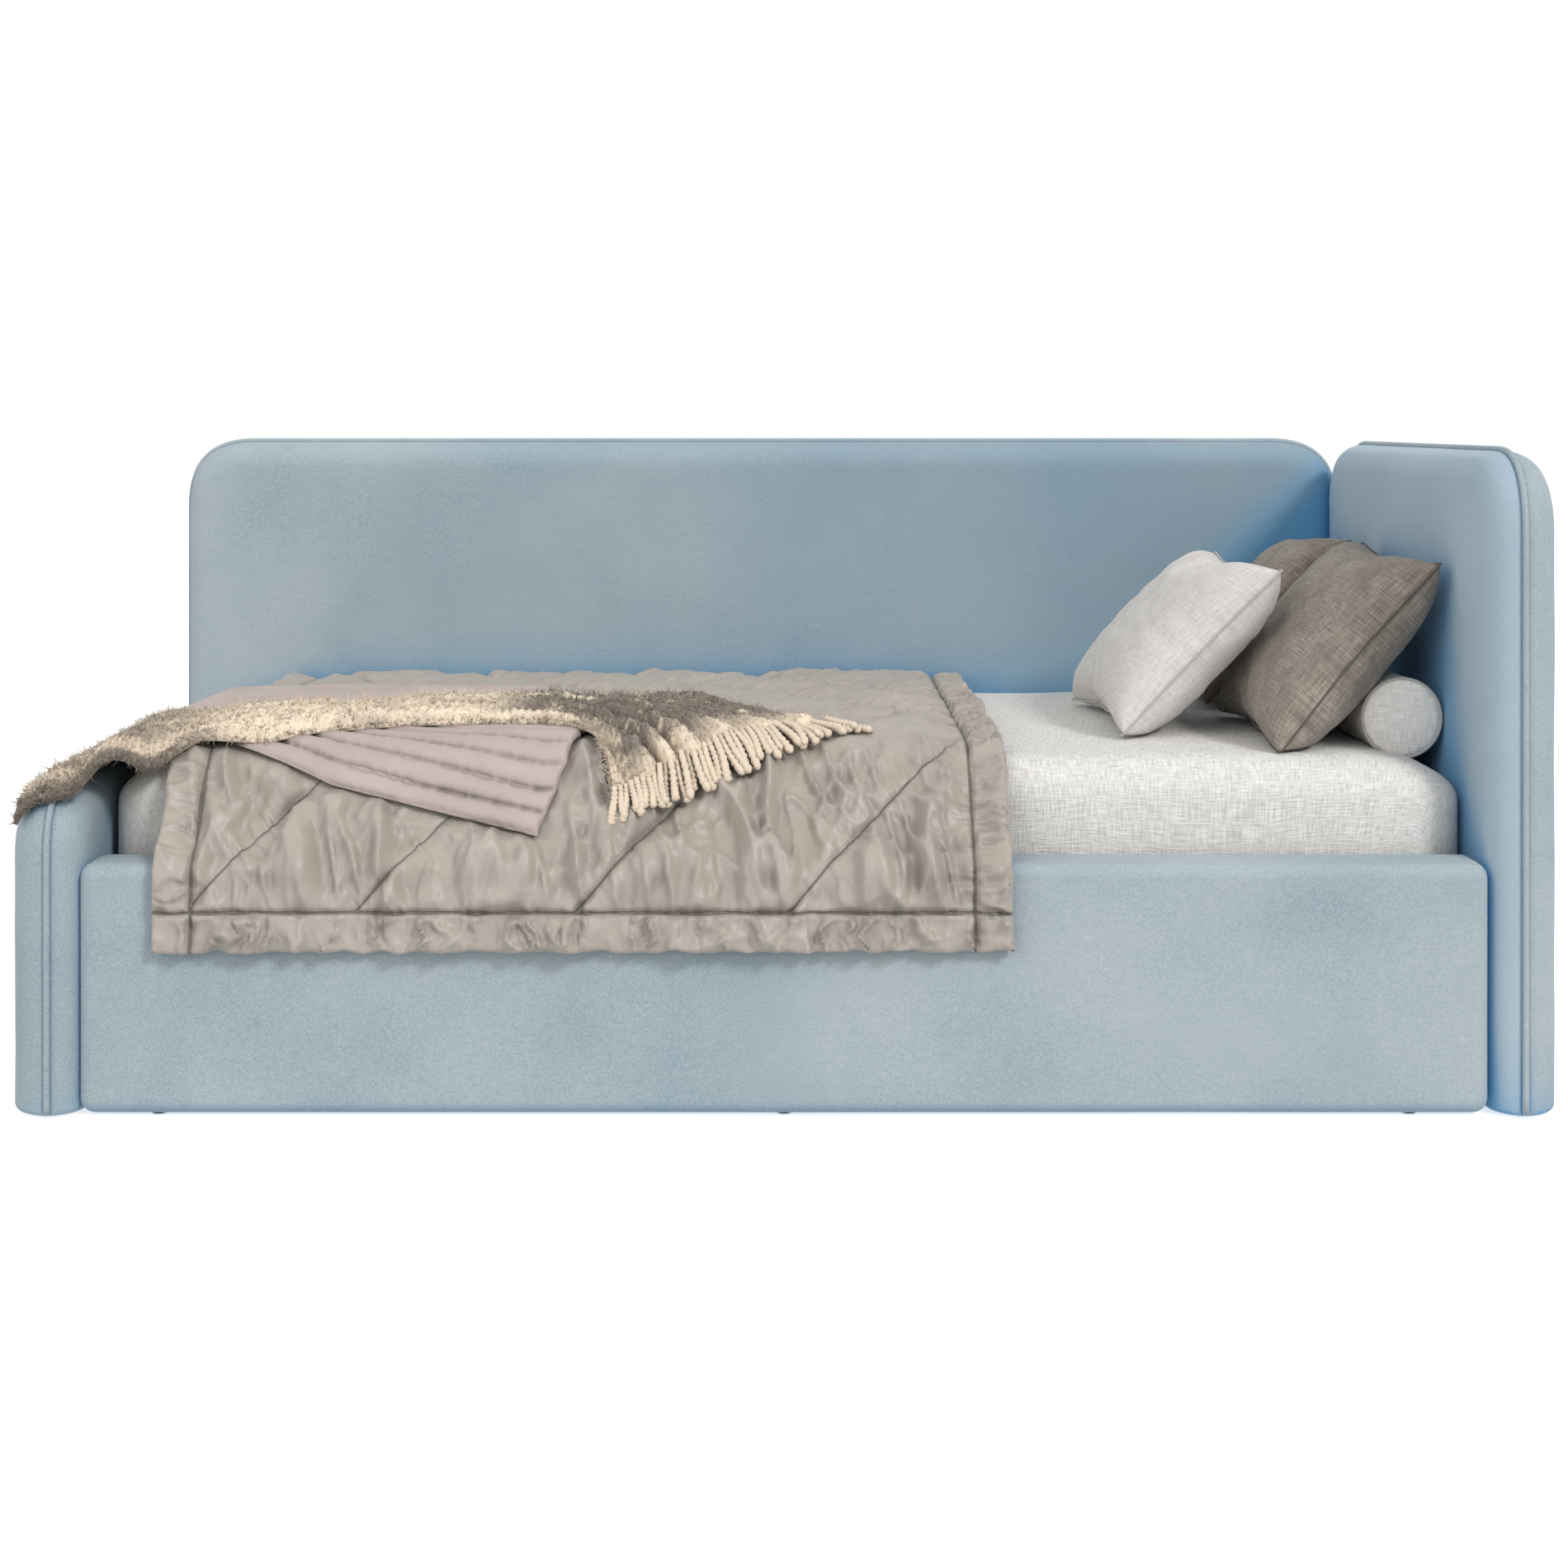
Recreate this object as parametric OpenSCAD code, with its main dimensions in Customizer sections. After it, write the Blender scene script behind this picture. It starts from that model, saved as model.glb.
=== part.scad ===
// Upholstered corner daybed with a side-lifting slatted base over a storage box.
// Origin: floor, under the centre foot. +X runs to the tall head panel, +Y to the back panel, +Z up.

/* [Bed] */
// Clear length between the two end panels
bed_l = 2020; // [1960:10:2060]
// Length of the mattress
mattress_l = 1990; // [1940:10:1990]
// Width of the mattress
mattress_w = 900; // [880:10:900]
// Thickness of the mattress
mattress_h = 190; // [160:5:190]

/* [Panels] */
// Thickness of every upholstered panel
panel_t = 101; // [96:1:104]
// Height of the tall head panel, without its piping
head_h = 948; // [900:2:980]
// Height of the low foot panel, without its piping
foot_h = 463; // [440:1:470]
// Height of the back panel, without its piping
back_h = 952; // [900:2:980]
// Radius of the tall panels' top corners
corner_r = 105; // [90:5:120]
// Radius of the low foot panel's top corners
foot_corner_r = 85; // [70:5:105]
// Radius of the piping cord
piping_r = 4; // [3:0.5:4]
// Gap under the upholstery
floor_gap = 4; // [3:1:6]

/* [Rail and box] */
// Height of the front rail's top
rail_top = 363; // [358:1:366]
// Thickness of the front rail's padding
rail_pad_t = 60; // [50:2:60]
// Thickness of the box boards
board_t = 16; // [15:1:16]
// Top of the box boards
board_top = 250; // [240:2:256]

/* [Lift] */
// Length of the lift arm between its pivots
arm_l = 250; // [245:1:252]
// Width of the lift arm
arm_w = 26; // [24:1:28]
// Diameter of the lift pivots
pivot_d = 12; // [10:1:12]
// Radial running clearance of the pivots
run_gap = 0.05; // [0.02:0.01:0.08]

/* [Soft goods] */
// Thickness of the quilt
quilt_t = 18; // [14:1:20]
// Width of the square cushions
cushion_w = 450; // [420:5:460]
// Diameter of the bolster
bolster_d = 124; // [110:2:126]

/* [Hidden] */
$fn = 48;

velvet = "#A9BFC8";
timber = "#D9C6A5";
steel = "#5B5E62";
zinc = "#B9BDC0";
black = "#2A2B2D";
linen = "#DAD7D1";
taupe = "#867C72";
satin = "#ABA196";
pink = "#C9BAB4";
wool = "#D6CBB8";

// Depth of the bed
front_y = -550;
back_face_y = 454;
panel_mid = bed_l / 2 + panel_t / 2;
outer_x = bed_l / 2 + panel_t;
back_mid_y = back_face_y + panel_t / 2;
head_rear_y = 485;
foot_rear_y = 448;
back_right_x = 1032;
groove = 4.5;
core_t = 16;
core_inset = 30;
bottom_inset = 8;

// Rail and box
rail_back_y = front_y + rail_pad_t + 18;
board_x = bed_l / 2 - board_t;
board_z = 20;
rear_board_y = back_face_y - board_t;
rail_fillet = 25;

// Lift linkage, all pivots parallel to X; places are [y, z]
arm_rise = 30;
lift_hinge = [400, 285];
arm_pivot = lift_hinge - arm_l * [cos(arm_rise), sin(arm_rise)];
control_foot = [170, 100];
control_head = [405, 255];
strut_foot = [40, 80];
strut_crank = 70;
strut_head = arm_pivot + strut_crank * [cos(-50), sin(-50)];
sync_place = arm_pivot + 80 * [cos(96), sin(96)];
plate_x = board_x - 4;
arm_x = board_x - 12;
bracket_x = board_x - 19;
control_x = board_x - 27;
strut_x = board_x - 40;
sheet_t = 5;
strut_pin_d = 8;

// Slatted base
frame_x = 975;
frame_front_y = -445;
frame_rear_y = 435;
frame_z = 270;
tube = 30;
tube_wall = 2;
slat_n = 14;
slat_w = 62;
slat_t = 8;
slat_z = frame_z + tube + 2;
mattress_z = frame_z + tube + 12;
mattress_x0 = -988;
mattress_y0 = -453;
mattress_top = mattress_z + mattress_h;

// Bedding: middle line of the quilt from the back to its front hem, places are [y, z]
quilt_line = [
    [438, mattress_top + 11], [-385, mattress_top + 11], [-430, mattress_top + 1],
    [-464, mattress_top - 27], [-484, mattress_top - 62], [-522, mattress_top - 108],
    [-552, mattress_top - 136], [-561, mattress_top - 156], [-561, 241]
];
quilt_x = [-900, 345];
coverlet_t = 6;
throw_t = 14;

// ---------- helpers ----------

// Draws a shape of [y, z] points as a solid that runs along X
module along_x(x0, x1) {
    translate([x0, 0, 0])
        rotate([90, 0, 90])
            linear_extrude(x1 - x0)
                children();
}

// Draws a shape of [x, z] points as a solid that runs along Y
module along_y(y0, y1) {
    translate([0, y1, 0])
        rotate([90, 0, 0])
            linear_extrude(y1 - y0)
                children();
}

// A rod parallel to X at the place [y, z]
module rod(place, d, x0, x1) {
    translate([x0, place[0], place[1]])
        rotate([0, 90, 0])
            cylinder(h = x1 - x0, d = d);
}

// Keeps a piece on the head side, or mirrors it to the foot side
module on_side(side) {
    if (side > 0) {
        children();
    } else {
        mirror([1, 0, 0])
            children();
    }
}

// Points of an arc, from angle a to angle b
function arc(c, r, a, b, n = 10) =
    [for (i = [0 : n]) c + r * [cos(a + (b - a) * i / n), sin(a + (b - a) * i / n)]];

// Outline of a panel from u0 to u1, standing on the floor gap, drawn in by an inset
function panel_outline(u0, u1, top, corner, inset) =
    let (
        r = corner - inset,
        low = floor_gap + min(inset, bottom_inset),
        high = floor_gap + top - inset,
        a = u0 + inset,
        b = u1 - inset
    )
    concat(
        arc([b - 8, low + 8], 8, -90, 0, 4),
        arc([b - r, high - r], r, 0, 90, 12),
        arc([a + r, high - r], r, 90, 180, 12),
        arc([a + 8, low + 8], 8, 180, 270, 4)
    );

// Half of a panel: flat at the middle plane, rounded over to its face
module half_panel(u0, u1, top, corner) {
    steps = 6;
    half = panel_t / 2;
    round_t = half - groove;
    difference() {
        hull() {
            linear_extrude(0.1)
                polygon(panel_outline(u0, u1, top, corner, groove));
            for (i = [0 : steps]) {
                angle = 90 * i / steps;
                inset = round_t * (1 - cos(angle));
                translate([0, 0, groove + (round_t - 0.1) * sin(angle)])
                    linear_extrude(0.1)
                        polygon(panel_outline(u0, u1, top, corner, inset));
            }
        }
        translate([0, 0, -1])
            linear_extrude(core_t / 2 + 1)
                polygon(panel_outline(u0, u1, top, corner, core_inset));
    }
}

// Piping over the front edge, the top and the rear edge of a panel
module piping(u0, u1, top, corner) {
    out = piping_r * sqrt(2) - groove + 0.1;
    r = corner + out;
    a = u0 - out;
    b = u1 + out;
    high = floor_gap + top + out;
    for (u = [a, b]) {
        translate([u, 1.5, 0])
            rotate([-90, 0, 0])
                cylinder(h = high - r - 1.5, r = piping_r);
    }
    translate([a + r, high, 0])
        rotate([0, 90, 0])
            cylinder(h = b - a - 2 * r, r = piping_r);
    translate([b - r, high - r, 0])
        rotate_extrude(angle = 90)
            translate([r, 0])
                circle(piping_r);
    translate([a + r, high - r, 0])
        rotate([0, 0, 90])
            rotate_extrude(angle = 90)
                translate([r, 0])
                    circle(piping_r);
}

// Turns a drawing of [y, z] places so that its height points to +X (out = 1) or -X (out = -1)
module end_plane(x, out) {
    translate([x, 0, 0])
        mirror([out < 0 ? 1 : 0, 0, 0])
            rotate([90, 0, 90])
                children();
}

// Turns a drawing of [x, z] places so that its height points to -Y (out = -1) or +Y (out = 1)
module back_plane(y, out) {
    translate([0, y, 0])
        mirror([0, out > 0 ? 1 : 0, 0])
            rotate([90, 0, 0])
                children();
}

// ---------- fastener places ----------

panel_bolt_y = [-380, 330];
panel_bolt_z = [90, 200];
back_bolt_x = [-800, 0, 800];
plate_bolt_yz = [[25, 185], [120, 185], [120, 75], [225, 75]];
screw_z = [85, 135, 185];
screw_in = [18, 38];

// Through-bolts that hold the end boards to the end panels' cores
module end_bolts(side, d, head) {
    on_side(side)
        for (y = panel_bolt_y) {
            for (z = panel_bolt_z) {
                rod([y, z], d, board_x - 0.2, panel_mid);
                if (head > 0) {
                    rod([y, z], head, board_x - 2.5, board_x);
                }
            }
        }
}

// Through-bolts that hold the rear board to the back panel's core
module back_bolts(d, head) {
    for (x = back_bolt_x) {
        for (z = panel_bolt_z) {
            translate([x, rear_board_y - 0.2, z])
                rotate([-90, 0, 0])
                    cylinder(h = back_mid_y - rear_board_y + 0.2, d = d);
            if (head > 0) {
                translate([x, rear_board_y - 2.5, z])
                    rotate([-90, 0, 0])
                        cylinder(h = 2.5, d = head);
            }
        }
    }
}

// Bolts of the lift plates into the end boards
module lift_bolts(side, d, head) {
    on_side(side)
        for (p = plate_bolt_yz) {
            rod(p, d, plate_x - 0.5, board_x + 12);
            if (head > 0) {
                rod(p, head, plate_x - 1.8, plate_x);
            }
        }
}

// Screws of the corner brackets; head = 0 draws the pilot holes only
module screws(d, head) {
    for (sx = [-1, 1]) {
        for (z = screw_z) {
            for (s = screw_in) {
                for (y = [rail_back_y + s, rear_board_y - s]) {
                    on_side(sx) {
                        rod([y, z], d, board_x - 3.2, board_x + 12);
                        if (head > 0) {
                            rod([y, z], head, board_x - 5, board_x - 3);
                        }
                    }
                }
                for (end = [[rail_back_y, -1], [rear_board_y, 1]]) {
                    x = sx * (board_x - s);
                    translate([x, end[0] - end[1] * 3.2, z])
                        rotate([-90 * end[1], 0, 0])
                            cylinder(h = 15.2, d = d);
                    if (head > 0) {
                        translate([x, end[0] - end[1] * 5, z])
                            rotate([-90 * end[1], 0, 0])
                                cylinder(h = 2, d = head);
                    }
                }
            }
        }
    }
}

// ---------- panels ----------

module head_panel_core() {
    color(timber)
        difference() {
            end_plane(panel_mid - core_t / 2, 1)
                linear_extrude(core_t)
                    polygon(panel_outline(front_y, head_rear_y, head_h, corner_r, core_inset));
            end_bolts(1, 8, 0);
        }
}

module head_panel_inner_pad() {
    color(velvet)
        difference() {
            end_plane(panel_mid, -1)
                half_panel(front_y, head_rear_y, head_h, corner_r);
            end_bolts(1, 8, 0);
        }
}

module head_panel_outer_pad() {
    color(velvet)
        end_plane(panel_mid, 1)
            half_panel(front_y, head_rear_y, head_h, corner_r);
}

module head_panel_piping() {
    color(velvet)
        end_plane(panel_mid, 1)
            piping(front_y, head_rear_y, head_h, corner_r);
}

module foot_panel_core() {
    color(timber)
        difference() {
            end_plane(-panel_mid - core_t / 2, 1)
                linear_extrude(core_t)
                    polygon(panel_outline(front_y, foot_rear_y, foot_h, foot_corner_r, core_inset));
            end_bolts(-1, 8, 0);
        }
}

module foot_panel_inner_pad() {
    color(velvet)
        difference() {
            end_plane(-panel_mid, 1)
                half_panel(front_y, foot_rear_y, foot_h, foot_corner_r);
            end_bolts(-1, 8, 0);
        }
}

module foot_panel_outer_pad() {
    color(velvet)
        end_plane(-panel_mid, -1)
            half_panel(front_y, foot_rear_y, foot_h, foot_corner_r);
}

module foot_panel_piping() {
    color(velvet)
        end_plane(-panel_mid, 1)
            piping(front_y, foot_rear_y, foot_h, foot_corner_r);
}

module back_panel_core() {
    color(timber)
        difference() {
            back_plane(back_mid_y + core_t / 2, -1)
                linear_extrude(core_t)
                    polygon(panel_outline(-outer_x, back_right_x, back_h, corner_r, core_inset));
            back_bolts(8, 0);
        }
}

module back_panel_front_pad() {
    color(velvet)
        difference() {
            back_plane(back_mid_y, -1)
                half_panel(-outer_x, back_right_x, back_h, corner_r);
            back_bolts(8, 0);
        }
}

module back_panel_rear_pad() {
    color(velvet)
        back_plane(back_mid_y, 1)
            half_panel(-outer_x, back_right_x, back_h, corner_r);
}

module back_panel_piping() {
    color(velvet)
        back_plane(back_mid_y, -1)
            piping(-outer_x, back_right_x, back_h, corner_r);
}

// ---------- rail and storage box ----------

module front_rail_board() {
    color(timber)
        difference() {
            along_x(-board_x - board_t + 1, board_x + board_t - 1)
                translate([rail_back_y - 18, 14])
                    square([18, rail_top - 22]);
            screws(4, 0);
        }
}

module front_rail_pad() {
    color(velvet)
        along_x(0.5 - bed_l / 2, bed_l / 2 - 0.5)
            polygon(concat(
                [[rail_back_y - 18, floor_gap], [rail_back_y - 18, rail_top - 8]],
                [[rail_back_y, rail_top - 8], [rail_back_y, rail_top - 4]],
                arc([rail_back_y - 4, rail_top - 4], 4, 0, 90, 3),
                arc([front_y + rail_fillet, rail_top - rail_fillet], rail_fillet, 90, 180, 8),
                arc([front_y + 8, floor_gap + 8], 8, 180, 270, 4)
            ));
}

module box_rear_board() {
    color(timber)
        difference() {
            translate([-board_x, rear_board_y, board_z])
                cube([2 * board_x, board_t, board_top - board_z]);
            back_bolts(8, 0);
            screws(4, 0);
        }
}

module end_board(side) {
    color(timber)
        difference() {
            on_side(side)
                translate([board_x, rail_back_y, board_z])
                    cube([board_t, back_face_y - rail_back_y, board_top - board_z]);
            end_bolts(side, 8, 0);
            lift_bolts(side, 8, 0);
            screws(4, 0);
        }
}

module box_head_board() { end_board(1); }

module box_foot_board() { end_board(-1); }

// Timber strips that carry the rubber buffers under the slatted base
module support_ledgers() {
    color(timber)
        for (y = [rail_back_y, rear_board_y - 40]) {
            translate([-930, y, 230])
                cube([1860, 40, 32]);
        }
}

module storage_floor() {
    color(timber)
        for (x = [-board_x + 0.5, 0.5]) {
            translate([x, rail_back_y + 0.5, 30])
                cube([board_x - 1, rear_board_y - rail_back_y - 1, 10]);
        }
}

module floor_bearers() {
    color(timber)
        for (y = [-280, 0, 280]) {
            translate([-board_x + 0.5, y - 20, 12])
                cube([2 * board_x - 1, 40, 18]);
        }
}

module centre_feet() {
    color(black)
        for (x = [-500, 0, 500]) {
            for (y = [-280, 0, 280]) {
                translate([x, y, 0])
                    cylinder(h = 12, d = 40);
            }
        }
}

module panel_glides() {
    color(black) {
        for (x = [-panel_mid, panel_mid]) {
            for (dx = [-20, 20]) {
                for (y = [-500, 400]) {
                    translate([x + dx, y, 0])
                        cylinder(h = floor_gap, d = 22);
                }
            }
        }
        for (x = [-900, 0, 900]) {
            translate([x, back_mid_y + 20, 0])
                cylinder(h = floor_gap, d = 22);
            translate([x, front_y + 35, 0])
                cylinder(h = floor_gap, d = 22);
        }
    }
}

module corner_brackets() {
    color(zinc)
        difference() {
            for (side = [-1, 1]) {
                on_side(side) {
                    translate([board_x - 50, rail_back_y, 60])
                        cube([50, 3, 150]);
                    translate([board_x - 3, rail_back_y, 60])
                        cube([3, 50, 150]);
                    translate([board_x - 50, rear_board_y - 3, 60])
                        cube([50, 3, 150]);
                    translate([board_x - 3, rear_board_y - 50, 60])
                        cube([3, 50, 150]);
                }
            }
            screws(4, 0);
        }
}

module bracket_screws() { color(zinc) screws(4, 9); }

module panel_bolts() {
    color(zinc) {
        end_bolts(1, 8, 18);
        end_bolts(-1, 8, 18);
        back_bolts(8, 18);
    }
}

// Rubber buffers on the ledgers; the base stops a hair above them
module rest_buffers() {
    color(black)
        for (x = [-850, -425, 0, 425, 850]) {
            for (y = [rail_back_y + 32, rear_board_y - 20]) {
                translate([x, y, 262])
                    cylinder(h = 7.7, d = 14);
            }
        }
}

// ---------- lift mechanism ----------

module lift_plate(side) {
    color(steel)
        difference() {
            on_side(side)
                along_x(plate_x, board_x)
                    polygon([[8, 50], [240, 50], [240, 90], [215, 205], [8, 205]]);
            lift_bolts(side, 8, 0);
            on_side(side) {
                rod(arm_pivot, pivot_d, plate_x - 1, board_x + 1);
                rod(control_foot, 10, plate_x - 1, board_x + 1);
                rod(strut_foot, strut_pin_d, plate_x - 1, board_x + 1);
            }
        }
}

module lift_plate_left() { lift_plate(-1); }

module lift_plate_right() { lift_plate(1); }

module plate_bolts() {
    color(zinc) {
        lift_bolts(1, 8, 16);
        lift_bolts(-1, 8, 16);
    }
}

// Fixed studs of the arm, the control arm and the strut, with their spacers and heads
module pivot_studs() {
    color(zinc)
        for (side = [-1, 1]) {
            on_side(side) {
                rod(arm_pivot, pivot_d, arm_x - 3.5, board_x);
                rod(arm_pivot, 20, arm_x - 3.5, arm_x - 0.5);
                rod(arm_pivot, 20, arm_x + sheet_t + 0.5, plate_x);
                rod(control_foot, 10, control_x - 3.5, board_x);
                rod(control_foot, 17, control_x - 3.5, control_x - 0.5);
                rod(control_foot, 16, control_x + sheet_t + 0.5, plate_x);
                rod(strut_foot, strut_pin_d, strut_x - 11, board_x);
                rod(strut_foot, 14, strut_x - 11, strut_x - 7.5);
                rod(strut_foot, 14, strut_x + 7.5, plate_x);
            }
        }
}

// Outline of a flat bar between two bosses, in [y, z] places
module link_outline(p, q, w, boss) {
    d = q - p;
    for (end = [p, q]) {
        translate(end)
            circle(d = boss);
    }
    translate(p)
        rotate(atan2(d[1], d[0]))
            translate([0, -w / 2])
                square([norm(d), w]);
}

module lift_arm(side) {
    color(steel)
        on_side(side)
            difference() {
                along_x(arm_x, arm_x + sheet_t) {
                    link_outline(arm_pivot, lift_hinge, arm_w, 32);
                    link_outline(arm_pivot, strut_head, 20, 24);
                    link_outline(arm_pivot, sync_place, 20, 28);
                }
                rod(arm_pivot, pivot_d + 2 * run_gap, arm_x - 1, arm_x + sheet_t + 1);
                rod(lift_hinge, pivot_d + 2 * run_gap, arm_x - 1, arm_x + sheet_t + 1);
                rod(strut_head, strut_pin_d, arm_x - 1, arm_x + sheet_t + 1);
            }
}

module lift_arm_left() { lift_arm(-1); }

module lift_arm_right() { lift_arm(1); }

module sync_tube() {
    color(steel)
        difference() {
            rod(sync_place, 22, -arm_x, arm_x);
            rod(sync_place, 18, -arm_x - 1, arm_x + 1);
        }
}

// Studs for the strut heads; each stops just short of the rod's eye
module strut_ball_studs() {
    color(zinc)
        for (side = [-1, 1]) {
            on_side(side) {
                rod(strut_head, strut_pin_d, strut_x + 7, arm_x + sheet_t);
                rod(strut_head, 12, arm_x - 2, arm_x);
            }
        }
}

module control_arm(side) {
    color(steel)
        on_side(side)
            difference() {
                along_x(control_x, control_x + sheet_t)
                    link_outline(control_foot, control_head, 18, 24);
                rod(control_foot, 10 + 2 * run_gap, control_x - 1, control_x + sheet_t + 1);
                rod(control_head, 13.4, control_x - 1, control_x + sheet_t + 1);
            }
}

module control_arm_left() { control_arm(-1); }

module control_arm_right() { control_arm(1); }

strut_vector = strut_head - strut_foot;
strut_angle = atan2(strut_vector[1], strut_vector[0]);
strut_length = norm(strut_vector);

// Draws along the strut's own axis, which starts at its foot
module along_strut(side) {
    on_side(side)
        translate([strut_x, strut_foot[0], strut_foot[1]])
            rotate([strut_angle - 90, 0, 0])
                children();
}

module strut_cylinder(side) {
    color(black)
        difference() {
            union() {
                on_side(side)
                    rod(strut_foot, 20, strut_x - 7, strut_x + 7);
                along_strut(side)
                    translate([0, 0, 7])
                        cylinder(h = 111, d = 18);
            }
            on_side(side)
                rod(strut_foot, strut_pin_d + 2 * run_gap, strut_x - 8, strut_x + 8);
            along_strut(side)
                translate([0, 0, 50])
                    cylinder(h = 70, d = strut_pin_d + 2 * run_gap);
        }
}

module strut_cylinder_left() { strut_cylinder(-1); }

module strut_cylinder_right() { strut_cylinder(1); }

module strut_rod(side) {
    color(zinc)
        difference() {
            union() {
                along_strut(side)
                    translate([0, 0, 60])
                        cylinder(h = strut_length - 60 - 6, d = strut_pin_d);
                on_side(side)
                    rod(strut_head, 18, strut_x - 6, strut_x + 6);
            }
            on_side(side)
                rod(strut_head, 9, strut_x - 7, strut_x + 7);
        }
}

module strut_rod_left() { strut_rod(-1); }

module strut_rod_right() { strut_rod(1); }

// ---------- slatted base ----------

// Bars of the base frame, drawn in by a wall so that the bores of the tubes join up inside
module frame_bars(wall) {
    side = tube - 2 * wall;
    reach = wall > 0 ? 1 : 0;
    for (y = [frame_front_y, frame_rear_y - tube]) {
        translate([-frame_x - reach, y + wall, frame_z + wall])
            cube([2 * (frame_x + reach), side, side]);
    }
    for (x = [-frame_x, -tube / 2, frame_x - tube]) {
        translate([x + wall, frame_front_y + 2 * wall, frame_z + wall])
            cube([side, frame_rear_y - frame_front_y - 4 * wall, side]);
    }
    translate([-frame_x + 2 * wall, wall - tube / 2, frame_z + wall])
        cube([2 * frame_x - 4 * wall, side, side]);
}

module base_frame() {
    color(steel)
        difference() {
            frame_bars(0);
            frame_bars(tube_wall);
        }
}

slat_step = (2 * frame_x - 2 * tube - slat_w) / (slat_n - 1);
slat_x0 = -frame_x + tube + slat_w / 2;

module slats() {
    color(timber)
        for (i = [0 : slat_n - 1]) {
            translate([slat_x0 + i * slat_step - slat_w / 2, frame_front_y + 6, slat_z])
                cube([slat_w, frame_rear_y - frame_front_y - 12, slat_t]);
        }
}

module slat_holders() {
    color(black)
        difference() {
            for (i = [0 : slat_n - 1]) {
                for (y = [frame_front_y + 2, frame_rear_y - 30]) {
                    translate([slat_x0 + i * slat_step - slat_w / 2 - 3, y, frame_z + tube])
                        cube([slat_w + 6, 28, slat_t + 3.5]);
                }
            }
            for (i = [0 : slat_n - 1]) {
                translate([slat_x0 + i * slat_step - slat_w / 2, frame_front_y + 6, slat_z])
                    cube([slat_w, frame_rear_y - frame_front_y - 12, slat_t]);
            }
        }
}

module hinge_brackets() {
    color(steel)
        for (side = [-1, 1]) {
            on_side(side)
                difference() {
                    along_x(bracket_x, bracket_x + sheet_t)
                        polygon([[375, 300], [375, 262], [392, 240], [418, 240], [430, 262], [430, 300]]);
                    rod(lift_hinge, pivot_d, bracket_x - 1, bracket_x + sheet_t + 1);
                    rod(control_head, 10, bracket_x - 1, bracket_x + sheet_t + 1);
                }
        }
}

module hinge_pins() {
    color(zinc)
        for (side = [-1, 1]) {
            on_side(side) {
                rod(lift_hinge, pivot_d, bracket_x, arm_x + sheet_t + 2.4);
                rod(lift_hinge, 20, arm_x + sheet_t + 0.4, arm_x + sheet_t + 2.4);
                rod(control_head, 10, control_x - 3.5, bracket_x + sheet_t);
                rod(control_head, 20, control_x - 3.5, control_x - 0.5);
            }
        }
}

// Low steel hoop that keeps the mattress from sliding off the raised base
module mattress_stop() {
    stop_gap = 12.6;
    color(zinc)
        for (x = [-300, 300]) {
            translate([x - 20, frame_rear_y, frame_z + 5])
                cube([40, stop_gap, 5]);
            translate([x - 20, frame_rear_y + stop_gap, frame_z + 5])
                cube([40, 4, 45]);
        }
}

// Webbing loop on the front tube, between two buffers, for lifting the base
module pull_strap() {
    color(velvet)
        translate([212, frame_front_y - 2, frame_z - 6])
            difference() {
                translate([-30, 0, 0])
                    cube([60, 2, 36]);
                translate([-22, -1, 5])
                    cube([44, 4, 20]);
            }
}

// ---------- soft goods ----------

module mattress() {
    r_top = 65;
    r_end = 70;
    r_low = 35;
    x0 = mattress_x0;
    x1 = mattress_x0 + mattress_l;
    y0 = mattress_y0;
    y1 = mattress_y0 + mattress_w;
    color(linen)
        hull() {
            for (x = [x0 + 150, x1 - 150]) {
                for (y = [y0 + r_top, y1 - r_top]) {
                    translate([x, y, mattress_top - r_top])
                        sphere(r_top, $fn = 24);
                }
            }
            for (x = [x0 + r_end, x1 - r_end]) {
                for (y = [y0 + r_end, y1 - r_end]) {
                    translate([x, y, mattress_top - 27 - r_end])
                        sphere(r_end, $fn = 24);
                    translate([x, y, mattress_z])
                        cylinder(h = r_low, r = r_end, $fn = 24);
                }
            }
        }
}

// Moves a line sideways by a distance, away from the bed
function beside(line, d) =
    [for (i = [0 : len(line) - 1])
        let (
            a = line[max(i - 1, 0)],
            b = line[min(i + 1, len(line) - 1)],
            t = (b - a) / norm(b - a)
        )
        line[i] + d * [t[1], -t[0]]
    ];

// Closed outline of a sheet from one distance to another beside a line
function band(line, near, far) =
    let (inside = beside(line, near), outside = beside(line, far))
    concat(inside, [for (i = [len(line) - 1 : -1 : 0]) outside[i]]);

module quilt() {
    color(satin)
        along_x(quilt_x[0], quilt_x[1])
            polygon(band(quilt_line, -quilt_t / 2, quilt_t / 2));
}

// Distances of the upper layers from the quilt's middle line
coverlet_low = quilt_t / 2 + 1;
coverlet_high = coverlet_low + coverlet_t;
throw_low = coverlet_high + 1;
throw_high = throw_low + throw_t;

// Cloth over the foot panel from y0 to y1: it lies on the bed at height bed_z, crosses the
// panel's top and hangs outside it down to low_z, with a gap to the upholstery
module over_foot(y0, y1, bed_z, gap, t, low_z) {
    crest = floor_gap + foot_h + piping_r + gap;
    out_x = -outer_x - gap;
    r = 50;
    along_y(y0, y1)
        polygon(concat(
            [[out_x, low_z], [out_x, crest - r]],
            arc([out_x + r, crest - r], r, 180, 90, 6),
            [[-1020, crest], [-980, bed_z], [-925, bed_z], [-925, bed_z + t], [-985, bed_z + t]],
            [[-1025, crest + t]],
            arc([out_x + r, crest - r], r + t, 90, 180, 6),
            [[out_x - t, low_z]]
        ));
}

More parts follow.
